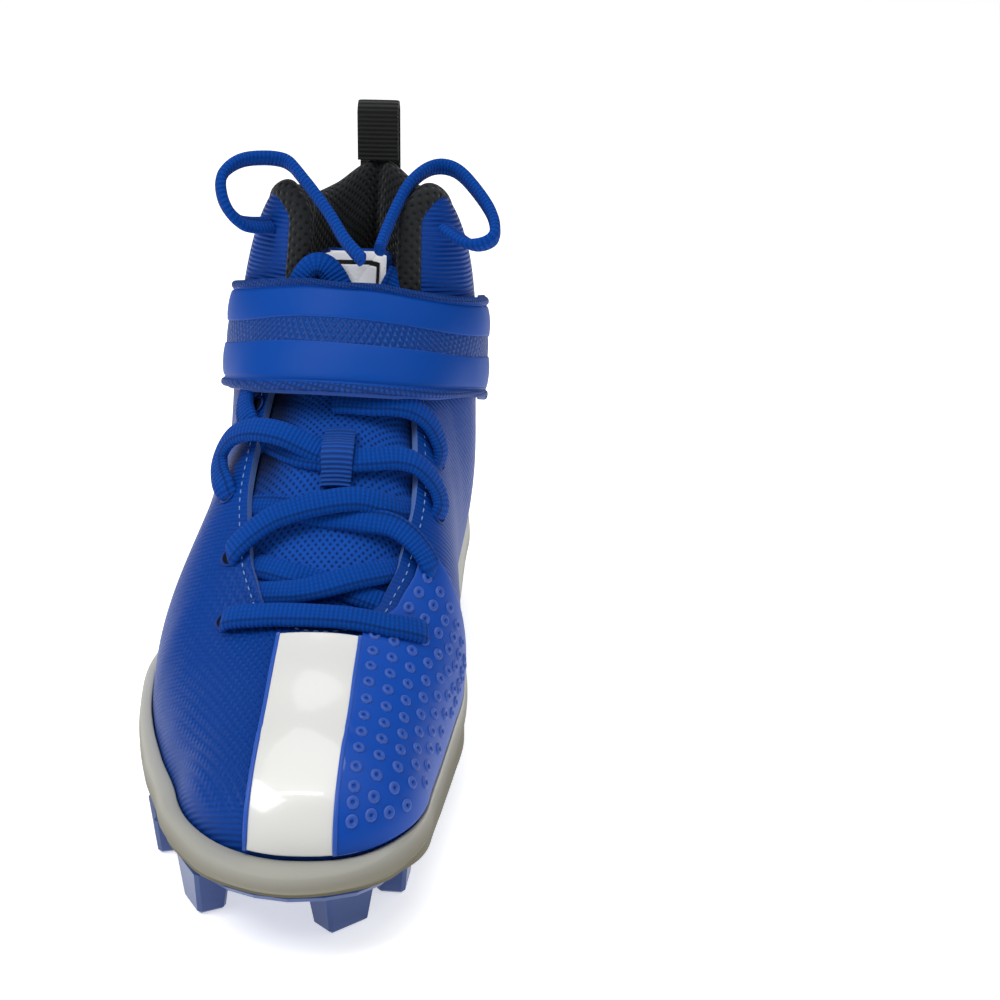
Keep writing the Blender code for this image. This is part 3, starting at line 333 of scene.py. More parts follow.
    def v_at_out(self, side: Array, place: Array, out: Array) -> Array:
        """Highest v at which ribs have this reach from the spine.

        Args:
            side: LATERAL or MEDIAL for each rib.
            place: Rib numbers, whole or between.
            out: Distances from the spine.

        Returns:
            The v of each rib.
        """
        controls = self.controls(side, place)
        low, high = np.full(np.shape(out), 0.1), np.ones(np.shape(out))
        found = solve(lambda v: self.rib(controls, v)[..., 0], out, low, high)
        return np.where(controls[..., 3, 0] >= out, 1.0, found)

    def v_at_up(self, side: Array, place: Array, up: Array) -> Array:
        """The v at which ribs have this height.

        Args:
            side: LATERAL or MEDIAL for each rib.
            place: Rib numbers, whole or between.
            up: Heights.

        Returns:
            The v of each rib.
        """
        controls = self.controls(side, place)
        up = np.broadcast_to(up, np.shape(place))
        return solve(lambda v: -self.rib(controls, v)[..., 1], -up, np.zeros(np.shape(up)), np.ones(np.shape(up)))

    def throat_half(self, side: Array, along: Array) -> Array:
        """Half width of the throat on one side, nothing ahead of its start.

        Args:
            side: LATERAL or MEDIAL for each rib.
            along: Shares of the length.

        Returns:
            The half widths.
        """
        along = np.asarray(along, float)
        run = np.clip((along - self.throat_start) * self.length / self.throat_run_in, 0, 1)
        share = np.where(np.asarray(side) < 0, along_table(THROAT, 1, along), along_table(THROAT, 2, along))
        return share * self.ball * np.sqrt(np.maximum(1 - (1 - run) ** 2, 0))

    def v_top(self, side: Array, place: Array) -> Array:
        """The v at which the upper ends: ridge, throat edge or collar.

        Args:
            side: LATERAL or MEDIAL for each rib.
            place: Rib numbers, whole or between.

        Returns:
            The v of each rib.
        """
        along, _, _ = self.spoke(side, place)
        half = self.throat_half(side, along)
        cut = self.v_at_out(side, place, half)
        return np.where((np.asarray(place) <= 3) | (along > 0.63) | (half <= 0), 1.0, cut)

    def v_rim(self, side: Array, place: Array) -> Array:
        """The v at which ribs pass the rim of the midsole."""
        _, spine, way = self.spoke(side, place)
        return self.v_at_up(side, place, self.level(3, spine[..., 1] + way[..., 1] * self.reach(side, place)))

    def over_place(self, offset: Array, y: Array) -> tuple[Array, Array, Array]:
        """Side, rib number and v of the closed last above a plan offset from the spine.

        Args:
            offset: Plan offsets from the spine, medial ones positive.
            y: Places along Y.

        Returns:
            Sides, rib numbers and shares up the ribs.
        """
        offset, y = np.broadcast_arrays(np.asarray(offset, float), np.asarray(y, float))
        side = np.where(offset >= 0, MEDIAL, LATERAL).astype(float)
        ahead = self.to_y(self.toe_pole) - y
        fan = ahead > 0
        straight = np.interp(self.to_along(y), LATERAL_RIBS[3:14, 0], np.arange(3, 14))
        place = np.where(fan, np.degrees(np.arctan2(np.abs(offset), ahead)) / 30, straight)
        out = np.where(fan, np.hypot(offset, ahead), np.abs(offset))
        return side, place, self.v_at_out(side, place, np.maximum(out, 1e-5))

    def over(self, offset: Array, y: Array, lift: Array = 0.0) -> tuple[Array, Array]:
        """Points and normals of the closed last above a plan offset from the spine.

        Args:
            offset: Plan offsets from the spine, medial ones positive.
            y: Places along Y.
            lift: Height over the outer face.

        Returns:
            Points and normals.
        """
        side, place, v = self.over_place(offset, y)
        normal = self.normal(side, place, v)
        return self.point(side, place, v) + np.asarray(lift)[..., None] * normal, normal

    def spoke_point(self, side: Array, place: Array, out: Array, up: Array) -> Array:
        """Points at a distance out along the ribs' spokes, at a height.

        Args:
            side: LATERAL or MEDIAL for each rib.
            place: Rib numbers, whole or between.
            out: Distances from the spine.
            up: Heights.

        Returns:
            The points.
        """
        _, spine, way = self.spoke(side, place)
        xy = spine + way * np.asarray(out)[..., None]
        return np.concatenate([xy, np.broadcast_to(up, xy.shape[:-1])[..., None]], -1)

    def sole_point(self, side: Array, place: Array, out: Array, column: int, rise: float) -> Array:
        """Points at a distance out along the ribs' spokes, at a level of the sole.

        Args:
            side: LATERAL or MEDIAL for each rib.
            place: Rib numbers, whole or between.
            out: Distances from the spine.
            column: 1 for the sole's under, 2 for its floor, 3 for its rim.
            rise: Height over that level.

        Returns:
            The points.
        """
        _, spine, way = self.spoke(side, place)
        y = spine[..., 1] + way[..., 1] * np.asarray(out)
        return self.spoke_point(side, place, out, self.level(column, y) + rise)

    def v_below_top(self, side: Array, place: Array, distance: float) -> Array:
        """The v that lies this far down the ribs from the collar's edge.

        Args:
            side: LATERAL or MEDIAL for each rib.
            place: Rib numbers, whole or between.
            distance: Way down the rib.

        Returns:
            The v of each rib.
        """
        top = self.v_top(side, place)
        steps = np.linspace(0, 1, 90)
        v = top[:, None] * (1 - steps)
        points = self.point(np.asarray(side)[:, None], np.asarray(place)[:, None], v)
        walked = walk(points)
        return np.array([np.interp(distance, walked[k], v[k]) for k in range(len(v))])

    def around(self, places: Array) -> tuple[Array, Array]:
        """Sides and rib numbers from the toe along the lateral side to the heel and back medially.

        Args:
            places: Rib numbers of the lateral side, rising.

        Returns:
            Sides and rib numbers.
        """
        return (
            np.concatenate([np.full(len(places), LATERAL), np.full(len(places), MEDIAL)]).astype(float),
            np.concatenate([places, places[::-1]]),
        )


@dataclass
class Ankle:
    """The shaft as reaches about an upright line, for what is wrapped round it."""

    last: Last
    turn_step: float = 6.0
    up_step: float = 0.004
    turn_count: int = 26
    up_low: float = 0.080
    up_count: int = 19
    turn_smoothing: int = 7
    up_smoothing: int = 2
    table: Array = field(init=False)

    def __post_init__(self) -> None:
        """Measure the last's outline at each level."""
        ups = self.up_low + self.up_step * np.arange(self.up_count)
        turns = self.turn_step * np.arange(self.turn_count)
        lateral, medial = (np.array([self.outline(side, up, turns) for up in ups]) for side in (LATERAL, MEDIAL))
        full = np.concatenate([lateral[:, :0:-1], medial], 1)
        relax(full.T, self.turn_smoothing)
        relax(full, self.up_smoothing)
        self.table = full

    def axis(self) -> Array:
        """Plan place of the upright line."""
        return np.array([self.last.spine(self.last.ankle_back), self.last.to_y(self.last.ankle_back)], float)

    def outline(self, side: int, up: float, turns: Array) -> Array:
        """Reaches of the closed last at one height.

        Args:
            side: LATERAL or MEDIAL.
            up: Height.
            turns: Degrees from straight ahead.

        Returns:
            A reach for each turn.
        """
        last = self.last
        ridge_places = np.arange(5, 11)
        ridge = last.controls(np.full(6, side), ridge_places)[:, 3, 1]
        front = float(np.interp(up, ridge, ridge_places))
        places = np.concatenate([[front], np.arange(math.ceil(front * 4 + 0.2) / 4, 16.01, 0.25)])
        sides = np.full(len(places), float(side))
        v = last.v_at_up(sides, places, up)
        v[0] = 1.0
        top = last.controls(sides, places)[:, 3, 1]
        keep = ~((top < up) & (places > 10))
        points = last.point(sides, places, v)[keep]
        across, ahead = side * (points[:, 0] - self.axis()[0]), self.axis()[1] - points[:, 1]
        order = np.argsort(np.arctan2(across, ahead))
        return np.interp(turns, np.degrees(np.arctan2(across, ahead))[order], np.hypot(across, ahead)[order])

    def point(self, turn: Array, up: Array) -> Array:
        """Points of the closed last at turns about the ankle and heights.

        Args:
            turn: Degrees from straight ahead, medial ones positive.
            up: Heights.

        Returns:
            Points, one more axis than the arguments.
        """
        turn, up = np.broadcast_arrays(np.asarray(turn, float), np.asarray(up, float))
        full = ease(self.table, (up - self.up_low) / self.up_step)
        middle = self.turn_count - 1
        spot = np.clip(turn / self.turn_step + middle, 1, 2 * middle - 1.001)
        base = spot.astype(int)
        f = spot - base
        a, b, c, d = (np.take_along_axis(full, (base + k)[..., None], -1)[..., 0] for k in (-1, 0, 1, 2))
        out = b + 0.5 * f * (c - a + f * (2 * a - 5 * b + 4 * c - d + f * (3 * (b - c) + d - a)))
        angle = np.radians(turn)
        return np.stack([self.axis()[0] + out * np.sin(angle), self.axis()[1] - out * np.cos(angle), up], -1)

    def normal(self, turn: Array, up: Array) -> Array:
        """Outward normals of the same surface.

        Args:
            turn: Degrees from straight ahead, medial ones positive.
            up: Heights.

        Returns:
            The normals, at length one.
        """
        around = self.point(np.asarray(turn) + 3, up) - self.point(np.asarray(turn) - 3, up)
        rise = self.point(turn, np.asarray(up) + 0.003) - self.point(turn, np.asarray(up) - 0.003)
        return unit(np.cross(around, rise))


LAST = Last()
ANKLE = Ankle(LAST)


# ---------- hand tools ----------


def clear_selection() -> None:
    """Leave nothing selected."""
    if bpy.context.object and bpy.context.object.mode != "OBJECT":
        bpy.ops.object.mode_set(mode="OBJECT")
    bpy.ops.object.select_all(action="DESELECT")


def take(piece: Piece) -> None:
    """Select one piece alone and make it the active one.

    Args:
        piece: Piece to select.
    """
    clear_selection()
    piece.select_set(True)
    bpy.context.view_layer.objects.active = piece


def edit(piece: Piece, *steps: Callable[[], object]) -> None:
    """Run edit-mode steps on the whole of a piece.

    Args:
        piece: Piece to work on.
        steps: Functions without arguments, run in order with everything selected.
    """
    take(piece)
    bpy.ops.object.mode_set(mode="EDIT")
    bpy.ops.mesh.select_all(action="SELECT")
    for step in steps:
        step()
    bpy.ops.object.mode_set(mode="OBJECT")


def weld(piece: Piece, distance: float = 2e-5, recalculate: bool = True) -> None:
    """Merge doubles, and turn the faces of a closed shape outward.

    Args:
        piece: Piece to work on.
        distance: How near two points are to be merged.
        recalculate: Whether the faces are turned outward.
    """
    edit(piece, lambda: bpy.ops.mesh.remove_doubles(threshold=distance))
    if recalculate:
        edit(piece, lambda: bpy.ops.mesh.normals_make_consistent(inside=False))


def grid(name: str, points: Array, uv_mm: Array | None = None) -> Piece:
    """Lay a grid primitive over a form, so that each of its crossings stands on a point.

    Args:
        name: Name of the piece.
        points: Points, as rows by columns by three.
        uv_mm: Pattern coordinates in millimetres, as rows by columns by two.

    Returns:
        The new piece.
    """
    clear_selection()
    rows, columns = points.shape[:2]
    bpy.ops.mesh.primitive_grid_add(x_subdivisions=columns - 1, y_subdivisions=rows - 1, size=1)
    piece = bpy.context.active_object
    piece.name = piece.data.name = name
    mesh = piece.data
    mesh.vertices.foreach_set("co", np.ascontiguousarray(points, float).reshape(-1))
    if uv_mm is not None:
        corner = np.empty(len(mesh.loops), int)
        mesh.loops.foreach_get("vertex_index", corner)
        mesh.uv_layers.active.data.foreach_set("uv", uv_mm.reshape(-1, 2)[corner].reshape(-1))
    mesh.update()
    return piece


def capped(name: str, rings: Array, uv_mm: Array, middles: Array | None = None) -> Piece:
    """Lay a grid over rings and draw each end together to a point.

    Args:
        name: Name of the piece.
        rings: Points, as rings by points by three.
        uv_mm: Pattern coordinates in millimetres, as rings by points by two.
        middles: The two end points; the middles of the end rings if left out.

    Returns:
        The new piece.
    """
    first, last = rings[[0, -1]].mean(1) if middles is None else middles
    ends = [np.broadcast_to(middle, rings[0].shape)[None] for middle in (first, last)]
    return grid(name, np.concatenate([ends[0], rings, ends[1]]), np.concatenate([uv_mm[:1], uv_mm, uv_mm[-1:]]))


def mark(piece: Piece, name: str, values: Array) -> None:
    """Store a number on each point of a piece, for its finish to read."""
    made = piece.data.attributes.new(name, "FLOAT", "POINT")
    made.data.foreach_set("value", np.ascontiguousarray(values, float).reshape(-1))


def finish_with(piece: Piece, kind: str, **settings: object) -> None:
    """Add a modifier with these settings and apply it.

    Args:
        piece: Piece to work on.
        kind: Type of the modifier.
        settings: Its options.
    """
    take(piece)
    step = piece.modifiers.new(kind.lower(), kind)
    for key, value in settings.items():
        setattr(step, key, value)
    bpy.ops.object.modifier_apply(modifier=step.name)


def face_away(piece: Piece, centre: Array) -> None:
    """Turn an open sheet's faces away from a point, if most look at it.

    Args:
        piece: Piece to work on.
        centre: Point inside the sheet's curve.
    """
    mesh = piece.data
    count = len(mesh.polygons)
    centres, normals = np.empty(count * 3), np.empty(count * 3)
    mesh.polygons.foreach_get("center", centres)
    mesh.polygons.foreach_get("normal", normals)
    if ((centres.reshape(-1, 3) - centre) * normals.reshape(-1, 3)).sum() < 0:
        edit(piece, lambda: bpy.ops.mesh.flip_normals())


def smooth_shade(piece: Piece, angle: float = 35.0) -> None:
    """Shade smooth, with edges sharper than the angle kept."""
    take(piece)
    bpy.ops.object.shade_smooth_by_angle(angle=math.radians(angle))


def thicken(piece: Piece, thickness: float, edge: float, segments: int = 2, shade: float = 40.0) -> None:
    """Give an open sheet its thickness outward, with rounded edges.

    Args:
        piece: Sheet to work on.
        thickness: Its thickness.
        edge: Width of the rounding.
        segments: Steps of the rounding.
        shade: Angle in degrees past which an edge stays sharp to the eye.
    """
    finish_with(piece, "SOLIDIFY", thickness=thickness, offset=1, use_rim=True)
    finish_with(piece, "BEVEL", width=edge, segments=segments, limit_method="ANGLE", angle_limit=math.radians(50))
    smooth_shade(piece, shade)


def join(name: str, pieces: list[Piece]) -> Piece:
    """Join pieces into the first one, under a new name.

    Args:
        name: New name.
        pieces: Pieces to join.

    Returns:
        The joined piece.
    """
    clear_selection()
    for piece in pieces:
        piece.select_set(True)
    bpy.context.view_layer.objects.active = pieces[0]
    bpy.ops.object.join()
    pieces[0].name = pieces[0].data.name = name
    return pieces[0]


def squash(piece: Piece, shares: tuple) -> None:
    """Stretch a piece along each axis by a share."""
    edit(piece, lambda: bpy.ops.transform.resize(value=shares))


def copies(name: str, model: Piece, places: list[Matrix]) -> Piece:
    """Set a copy of a model at each place, each with its own mesh, and join them.

    Args:
        name: Name of the joined piece.
        model: What is repeated; it is removed.
        places: Where the copies go.

    Returns:
        The joined piece.
    """
    made = []
    for place in places:
        copy = model.copy()
        copy.data = model.data.copy()
        copy.data.transform(place)
        bpy.context.scene.collection.objects.link(copy)
        made.append(copy)
    bpy.data.objects.remove(model, do_unlink=True)
    return join(name, made)


def stand(point: Array, normal: Array, ahead: Array) -> Matrix:
    """Place with +Z along a normal and +X as near as it can be to ahead.

    Args:
        point: Where it stands.
        normal: Direction of +Z.
        ahead: Wish for +X.

    Returns:
        The place as a matrix.
    """
    z = unit(np.asarray(normal, float))
    x = unit(np.asarray(ahead, float) - z * float(np.dot(ahead, z)))
    y = np.cross(z, x)
    rows = tuple((x[k], y[k], z[k], point[k]) for k in range(3))
    return Matrix(rows + ((0, 0, 0, 1),))


def walk(points: Array) -> Array:
    """Distance walked along a line of points, or along each row of them."""
    strides = np.linalg.norm(np.diff(points, axis=-2), axis=-1)
    return np.concatenate([np.zeros(strides.shape[:-1] + (1,)), np.cumsum(strides, -1)], -1)


def read(values: Array, run: Array, spots: Array) -> Array:
    """Values along a line, read at other spots of it."""
    return np.stack([np.interp(spots, run, column) for column in values.T], -1)


def even(points: Array, *others: Array, pitch: float) -> tuple[Array, ...]:
    """Points at an even pitch along a line, with other values read at the same spots.

    Args:
        points: Points of the line.
        others: Values at each point.
        pitch: Distance from spot to spot.

    Returns:
        The points and the other values at the even spots.
    """
    run = walk(points)
    spots = np.linspace(0, run[-1], max(2, int(round(run[-1] / pitch)) + 1))
    return tuple(read(values, run, spots) for values in (points, *others))


def sweep(name: str, path: Array, up: Array, profile: Array, widths: Array | None = None) -> Piece:
    """Closed bar with one profile along a path.

    Args:
        name: Name of the piece.
        path: Points of its middle line.
        up: Direction of the profile's second axis at each point.
        profile: Points of the profile, across and up, in metres.
        widths: Share of the profile at each point.

    Returns:
        The piece, with pattern coordinates in millimetres along and around.
    """
    ahead = unit(np.gradient(path, axis=0))
    across = unit(np.cross(ahead, up))
    rise = np.cross(across, ahead)
    ring = np.concatenate([profile, profile[:1]])
    scale = np.ones(len(path)) if widths is None else widths
    points = (
        path[:, None] + (across[:, None] * ring[None, :, :1] + rise[:, None] * ring[None, :, 1:]) * scale[:, None, None]
    )
    girth = np.concatenate([[0], np.cumsum(np.linalg.norm(np.diff(ring, axis=0), axis=1))])
    uv = np.stack(np.broadcast_arrays(walk(path)[:, None], girth[None]), -1) / MM
    piece = capped(name, points, uv, path[[0, -1]])
    weld(piece, 1e-6)
    return piece


def oval(width: float, thickness: float, count: int = 16, square: float = 0.6) -> Array:
    """Flat oval profile, squarer for a smaller power.

    Args:
        width: Its width.
        thickness: Its thickness.
        count: Number of points.
        square: The power.

    Returns:
        Its points, across and up.
    """
    angle = 2 * np.pi * np.arange(count) / count
    across, up = (np.sign(share) * np.abs(share) ** square for share in (np.cos(angle), np.sin(angle)))
    return np.stack([across * width / 2, up * thickness / 2], -1)


# ---------- finishes ----------


class Relief(Enum):
    """Pattern pressed or woven into a finish."""

    PLAIN = "plain"
    RIBS = "ribs"
    DIAMOND = "diamond"
    WEAVE = "weave"
    MESH = "mesh"
    CORD = "cord"


class Source(Enum):
    """What a pattern follows."""

    OBJECT = "Object"
    SURFACE = "UV"


def paint(hexed: str) -> tuple[float, float, float, float]:
    """Linear colour of an sRGB hex colour."""
    parts = [int(hexed[k : k + 2], 16) / 255 for k in (1, 3, 5)]
    return tuple(c / 12.92 if c <= 0.04045 else ((c + 0.055) / 1.055) ** 2.4 for c in parts) + (1.0,)


def node(tree: Tree, kind: str, inputs: dict | None = None, **settings: object) -> bpy.types.Node:
    """Add a node, set its options, and fill or link its inputs.

    Args:
        tree: Tree of the material.
        kind: Node type without its ShaderNode prefix.
        inputs: Input name or number to a value or to an output socket.
        settings: Options of the node.

    Returns:
        The node.
    """
    made = tree.nodes.new("ShaderNode" + kind)
    for key, value in settings.items():
        setattr(made, key, value)
    for key, value in (inputs or {}).items():
        if isinstance(value, Socket):
            tree.links.new(value, made.inputs[key])
        else:
            made.inputs[key].default_value = value
    return made


def calc(tree: Tree, operation: str, *values: float | Socket) -> Socket:
    """Result of a math node on values or sockets."""
    return node(tree, "Math", dict(enumerate(values)), operation=operation).outputs[0]


def blend(tree: Tree, share: Socket, colour: Socket | tuple, other: str) -> Socket:
    """Colour that turns into another one by a share."""
    return node(tree, "Mix", {0: share, 6: colour, 7: paint(other)}, data_type="RGBA").outputs[2]


def span(tree: Tree, value: Socket, start: tuple = (0.0, 1.0), end: tuple = (0.0, 1.0)) -> Socket:
    """Value carried from one range to another and kept inside it."""
    ends = {"From Min": start[0], "From Max": start[1], "To Min": end[0], "To Max": end[1]}
    return node(tree, "MapRange", {"Value": value, **ends}).outputs[0]


def noise(tree: Tree, source: Socket, scale: float, detail: float) -> Socket:
    """Cloudy noise from 0 to 1."""
    return node(tree, "TexNoise", {"Vector": source, "Scale": scale, "Detail": detail}).outputs["Fac"]


def stored(tree: Tree, name: str) -> Socket:
    """Number stored on the mesh under a name."""
    return node(tree, "Attribute", attribute_name=name).outputs["Fac"]


def close(tree: Tree, colour: Socket, rough: Socket, relief: Socket, levels: dict[str, float]) -> None:
    """Wire colour, roughness and relief to the shader and set its levels.

    Args:
        tree: Tree of the material.
        colour: Its colour.
        rough: Its roughness.
        relief: Height in millimetres.
        levels: Other inputs of the shader.
    """
    shader = tree.nodes["Principled BSDF"]
    bump = node(tree, "Bump", {"Height": relief, "Distance": MM, "Strength": 1.0})
    tree.links.new(colour, shader.inputs["Base Color"])
    tree.links.new(rough, shader.inputs["Roughness"])
    tree.links.new(bump.outputs[0], shader.inputs["Normal"])
    for key, value in levels.items():
        shader.inputs[key].default_value = value


def wave(tree: Tree, source: Socket, way: tuple, pitch: float) -> Socket:
    """Ridges from 0 to 1 square to a direction.

    Args:
        tree: Tree of the material.
        source: Coordinates.
        way: Direction in which the ridges follow each other.
        pitch: Distance from ridge to ridge, in the coordinates' unit.

    Returns:
        Height.
    """
    turns = tuple(float(c) * 2 * math.pi / pitch for c in unit(np.array(way, float)))
    run = node(tree, "VectorMath", {0: source, 1: turns}, operation="DOT_PRODUCT").outputs["Value"]
    return calc(tree, "MULTIPLY_ADD", calc(tree, "SINE", run), 0.5, 0.5)


# Clouds a metre, range of the edge measure that wears, and the colours of worn edges and woven seams
CLOUDS = 38.0
WORN_EDGE = (0.52, 0.62)
WORN_COLOUR = "#C9D3E2"
SEAM_COLOUR = "#020A1E"
SEAM_SHARPNESS = 34.0


@dataclass(frozen=True)
class Finish:
    """A material: colour with mottling and worn edges, grain, a pattern in relief with painted shade in its hollows,
    and optional painted shadow and painted shade low down.
    """

    name: str
    colour: str
    shade: str
    roughness: float
    relief: Relief = Relief.PLAIN
    source: Source = Source.SURFACE
    pitch: float = 1.0
    depth: float = 0.1
    turn: float = 45.0
    grain: float = 0.02
    grain_size: float = 0.4
    mottle: float = 0.25
    # Share by which the pattern's hollows darken towards the shade colour: painted shade
    painted_hollow_shade: float = 0.5
    coat: float = 0.0
    sheen: float = 0.0
    translucency: float = 0.0
    wear: float = 0.15
    ior: float = 1.5
    specular: float = 0.18
    seam: float = 0.0
    # Colour of painted shadow, laid by a share stored on the mesh
    painted_shadow: str = ""
    # Painted shade low down: its colour, the height where it starts and the run down to full strength
    low_shade_painted: str = ""
    low_shade_painted_top: float = 0.03
    low_shade_painted_depth: float = 0.012

    def height(self, tree: Tree, source: Socket) -> Socket | None:
        """Relief pattern from 0 to 1, or None for a plain finish.

        Args:
            tree: Tree of the material.
            source: Coordinates.

        Returns:
            The height, or None.
        """
        unit_size = 1.0 if self.source is Source.SURFACE else MM
        pitch = self.pitch * unit_size
        c, s = math.cos(math.radians(self.turn)), math.sin(math.radians(self.turn))
        if self.relief is Relief.PLAIN:
            return None
        first = wave(tree, source, (c, s, 0), pitch)
        if self.relief is Relief.RIBS:
            return first
        second = wave(tree, source, (c, -s, 0) if self.relief is Relief.DIAMOND else (-s, c, 0), pitch)
        if self.relief is Relief.DIAMOND:
            return calc(tree, "MINIMUM", first, second)
        if self.relief is Relief.CORD:
            return calc(tree, "MULTIPLY", first, calc(tree, "MULTIPLY_ADD", second, 0.45, 0.55))
        if self.relief is Relief.WEAVE:
            return calc(tree, "ABSOLUTE", calc(tree, "SUBTRACT", first, second))
        return calc(tree, "SUBTRACT", 1.0, calc(tree, "POWER", calc(tree, "MULTIPLY", first, second), 1.6))

    def make(self) -> Material:
        """Build the material.

        Returns:
            The material.
        """
        made = bpy.data.materials.new(self.name)
        made.use_nodes = True
        tree = made.node_tree
        spots = node(tree, "TexCoord")
        place = spots.outputs["Object"]
        source = spots.outputs[self.source.value]
        broad, fine = noise(tree, place, CLOUDS, 4.0), noise(tree, place, 1 / (self.grain_size * MM), 2.0)
        tone = calc(tree, "MULTIPLY", broad, self.mottle)
        relief = calc(tree, "MULTIPLY", fine, self.grain)
        height = self.height(tree, source)
        if height is not None:
            # Hollows of the pattern darker: painted shade
            tone = calc(tree, "MULTIPLY_ADD", calc(tree, "SUBTRACT", 1.0, height), self.painted_hollow_shade, tone)
            relief = calc(tree, "MULTIPLY_ADD", height, self.depth, relief)
        colour = blend(tree, tone, paint(self.colour), self.shade)
        worn = span(tree, node(tree, "NewGeometry").outputs["Pointiness"], WORN_EDGE, (0.0, self.wear))
        colour = blend(tree, worn, colour, WORN_COLOUR)
        if self.seam:
            line = calc(tree, "POWER", wave(tree, source, (0, 1, 0), self.seam), SEAM_SHARPNESS)
            colour = blend(tree, calc(tree, "MULTIPLY", line, 0.5), colour, SEAM_COLOUR)
        # Painted shadow, by a share stored on the mesh
        if self.painted_shadow:
            colour = blend(tree, stored(tree, "painted_shadow"), colour, self.painted_shadow)
        # Darker towards the floor: painted shade
        if self.low_shade_painted:
            up = node(tree, "SeparateXYZ", {0: place}).outputs["Z"]
            low = span(tree, up, (self.low_shade_painted_top, self.low_shade_painted_top - self.low_shade_painted_depth))
            colour = blend(tree, low, colour, self.low_shade_painted)
        rough = span(tree, broad, end=(self.roughness * 0.88, min(1.0, self.roughness * 1.14)))
        levels = {
            "IOR": self.ior, "Specular IOR Level": self.specular, "Coat Weight": self.coat, "Coat Roughness": 0.06,
            "Sheen Weight": self.sheen, "Sheen Roughness": 0.5, "Transmission Weight": self.translucency,
        }
        close(tree, colour, rough, relief, levels)
        return made


@dataclass(frozen=True)
class UpperSkin:
    """Moulded synthetic of the upper: knurl on the vamp, fine lines behind, ribs at the ears."""

    name: str = "moulded_synthetic_upper"
    colour: str = "#003C92"
    shade: str = "#002866"
    roughness: float = 0.46
    knurl_pitch: float = 2.1
    knurl_depth: float = 0.60
    line_pitch: float = 1.5
    line_depth: float = 0.20
    rib_pitch: float = 1.5
    rib_depth: float = 0.28
    knurl_ways: tuple = ((0.87, 0.5, 0), (0.87, -0.5, 0))
    line_way: tuple = (0.2, 0.72, 0.66)
    rib_way: tuple = (0.06, 0.1, 1)
    grain: float = 0.035
    grain_scale: float = 2600.0
    clouds: float = 30.0
    mottle: float = 0.35
    # Share by which the patterns' hollows darken: painted shade
    painted_hollow_shade: float = 0.42
    base_tone: float = 0.24
    cloth: str = "#27324C"
    cloth_edge: tuple = (0.47, 0.53)

    def make(self) -> Material:
        """Build the material, with each pattern weighed by a number stored on the mesh.

        Returns:
            The material.
        """
        made = bpy.data.materials.new(self.name)
        made.use_nodes = True
        tree = made.node_tree
        spots = node(tree, "TexCoord").outputs["Object"]
        left, right = (wave(tree, spots, way, self.knurl_pitch * MM) for way in self.knurl_ways)
        parts = (
            ("knurl", calc(tree, "MINIMUM", left, right), self.knurl_depth),
            ("lines", wave(tree, spots, self.line_way, self.line_pitch * MM), self.line_depth),
            ("ribs", wave(tree, spots, self.rib_way, self.rib_pitch * MM), self.rib_depth),
        )
        broad, fine = noise(tree, spots, self.clouds, 4.0), noise(tree, spots, self.grain_scale, 2.0)
        relief = calc(tree, "MULTIPLY", fine, self.grain)
        tone = calc(tree, "MULTIPLY", broad, self.mottle)
        for key, pattern, depth in parts:
            height = calc(tree, "MULTIPLY", pattern, stored(tree, key))
            relief = calc(tree, "MULTIPLY_ADD", height, depth, relief)
            # Hollows of each pattern darker: painted shade
            tone = calc(tree, "MULTIPLY_ADD", height, -self.painted_hollow_shade, tone)
        colour = blend(tree, calc(tree, "ADD", tone, self.base_tone), paint(self.colour), self.shade)
        cloth = span(tree, stored(tree, "textile"), self.cloth_edge)
        colour = blend(tree, cloth, colour, self.cloth)
        rough = span(tree, broad, end=(self.roughness * 0.88, self.roughness * 1.12))
        close(tree, colour, rough, relief, {"IOR": 1.47, "Specular IOR Level": 0.13})
        return made


# Injected foam of the midsole, matt and a little warm, with painted shade that darkens it towards the floor
FOAM = Finish(
    "injected_cream_foam", "#BDBDB8", "#A09D90", 0.6, grain=0.03, grain_size=0.9, mottle=0.35, low_shade_painted="#676350",
    low_shade_painted_top=0.032, low_shade_painted_depth=0.010, wear=0.3,
)
# Moulded shell of the heel, smoother than the foam
COUNTER = Finish("moulded_cream_shell", "#D6D5CD", "#BDBAAD", 0.38, grain=0.012, mottle=0.25)
# Clear-tinted rubber of the plate and studs
RUBBER = Finish(
    "tinted_translucent_rubber", "#3A5490", "#22345F", 0.30, grain=0.02, mottle=0.6, translucency=0.08, wear=0.0,
    specular=0.35,
)
# Glossy patent film of the toe's band
PATENT = Finish(
    "white_patent_film", "#DADAD7", "#CFCFCB", 0.3, grain=0.004, mottle=0.15, coat=0.55, wear=0.0, specular=0.5,
)
# Rubbery film of the grip panel and its rings
GRIP = Finish("grip_film_blue", "#0348AC", "#013080", 0.46, grain=0.03, mottle=0.35)
# Moulded edge along the white band
PIPING = Finish("stripe_border_blue", "#0B4CB0", "#06368C", 0.36, grain=0.01)
# Paler raw edge where the shell is cut
TRIM = Finish("cut_edge_blue", "#3C63A8", "#24488C", 0.6, grain=0.08, grain_size=0.6)
# Sewing thread
THREAD = Finish("pale_thread", "#6F90C6", "#4C6DA0", 0.6, grain=0.05, sheen=0.2, wear=0.0)
# Open spacer mesh of the collar and the ear pads
KNIT = Finish(
    "spacer_mesh_black", "#1D2023", "#050506", 0.85, relief=Relief.MESH, pitch=2.5, depth=0.6, turn=45, painted_hollow_shade=0.8,
    sheen=0.15, wear=0.0,
)
# Air mesh of the tongue, with painted shadow where it lies under the shell's edges and under the strap
AIR_MESH = Finish(
    "air_mesh_blue", "#014CAE", "#001C55", 0.8, relief=Relief.MESH, pitch=1.7, depth=0.35, turn=45, painted_hollow_shade=0.9,
    sheen=0.02, wear=0.0, painted_shadow="#020A20",
)
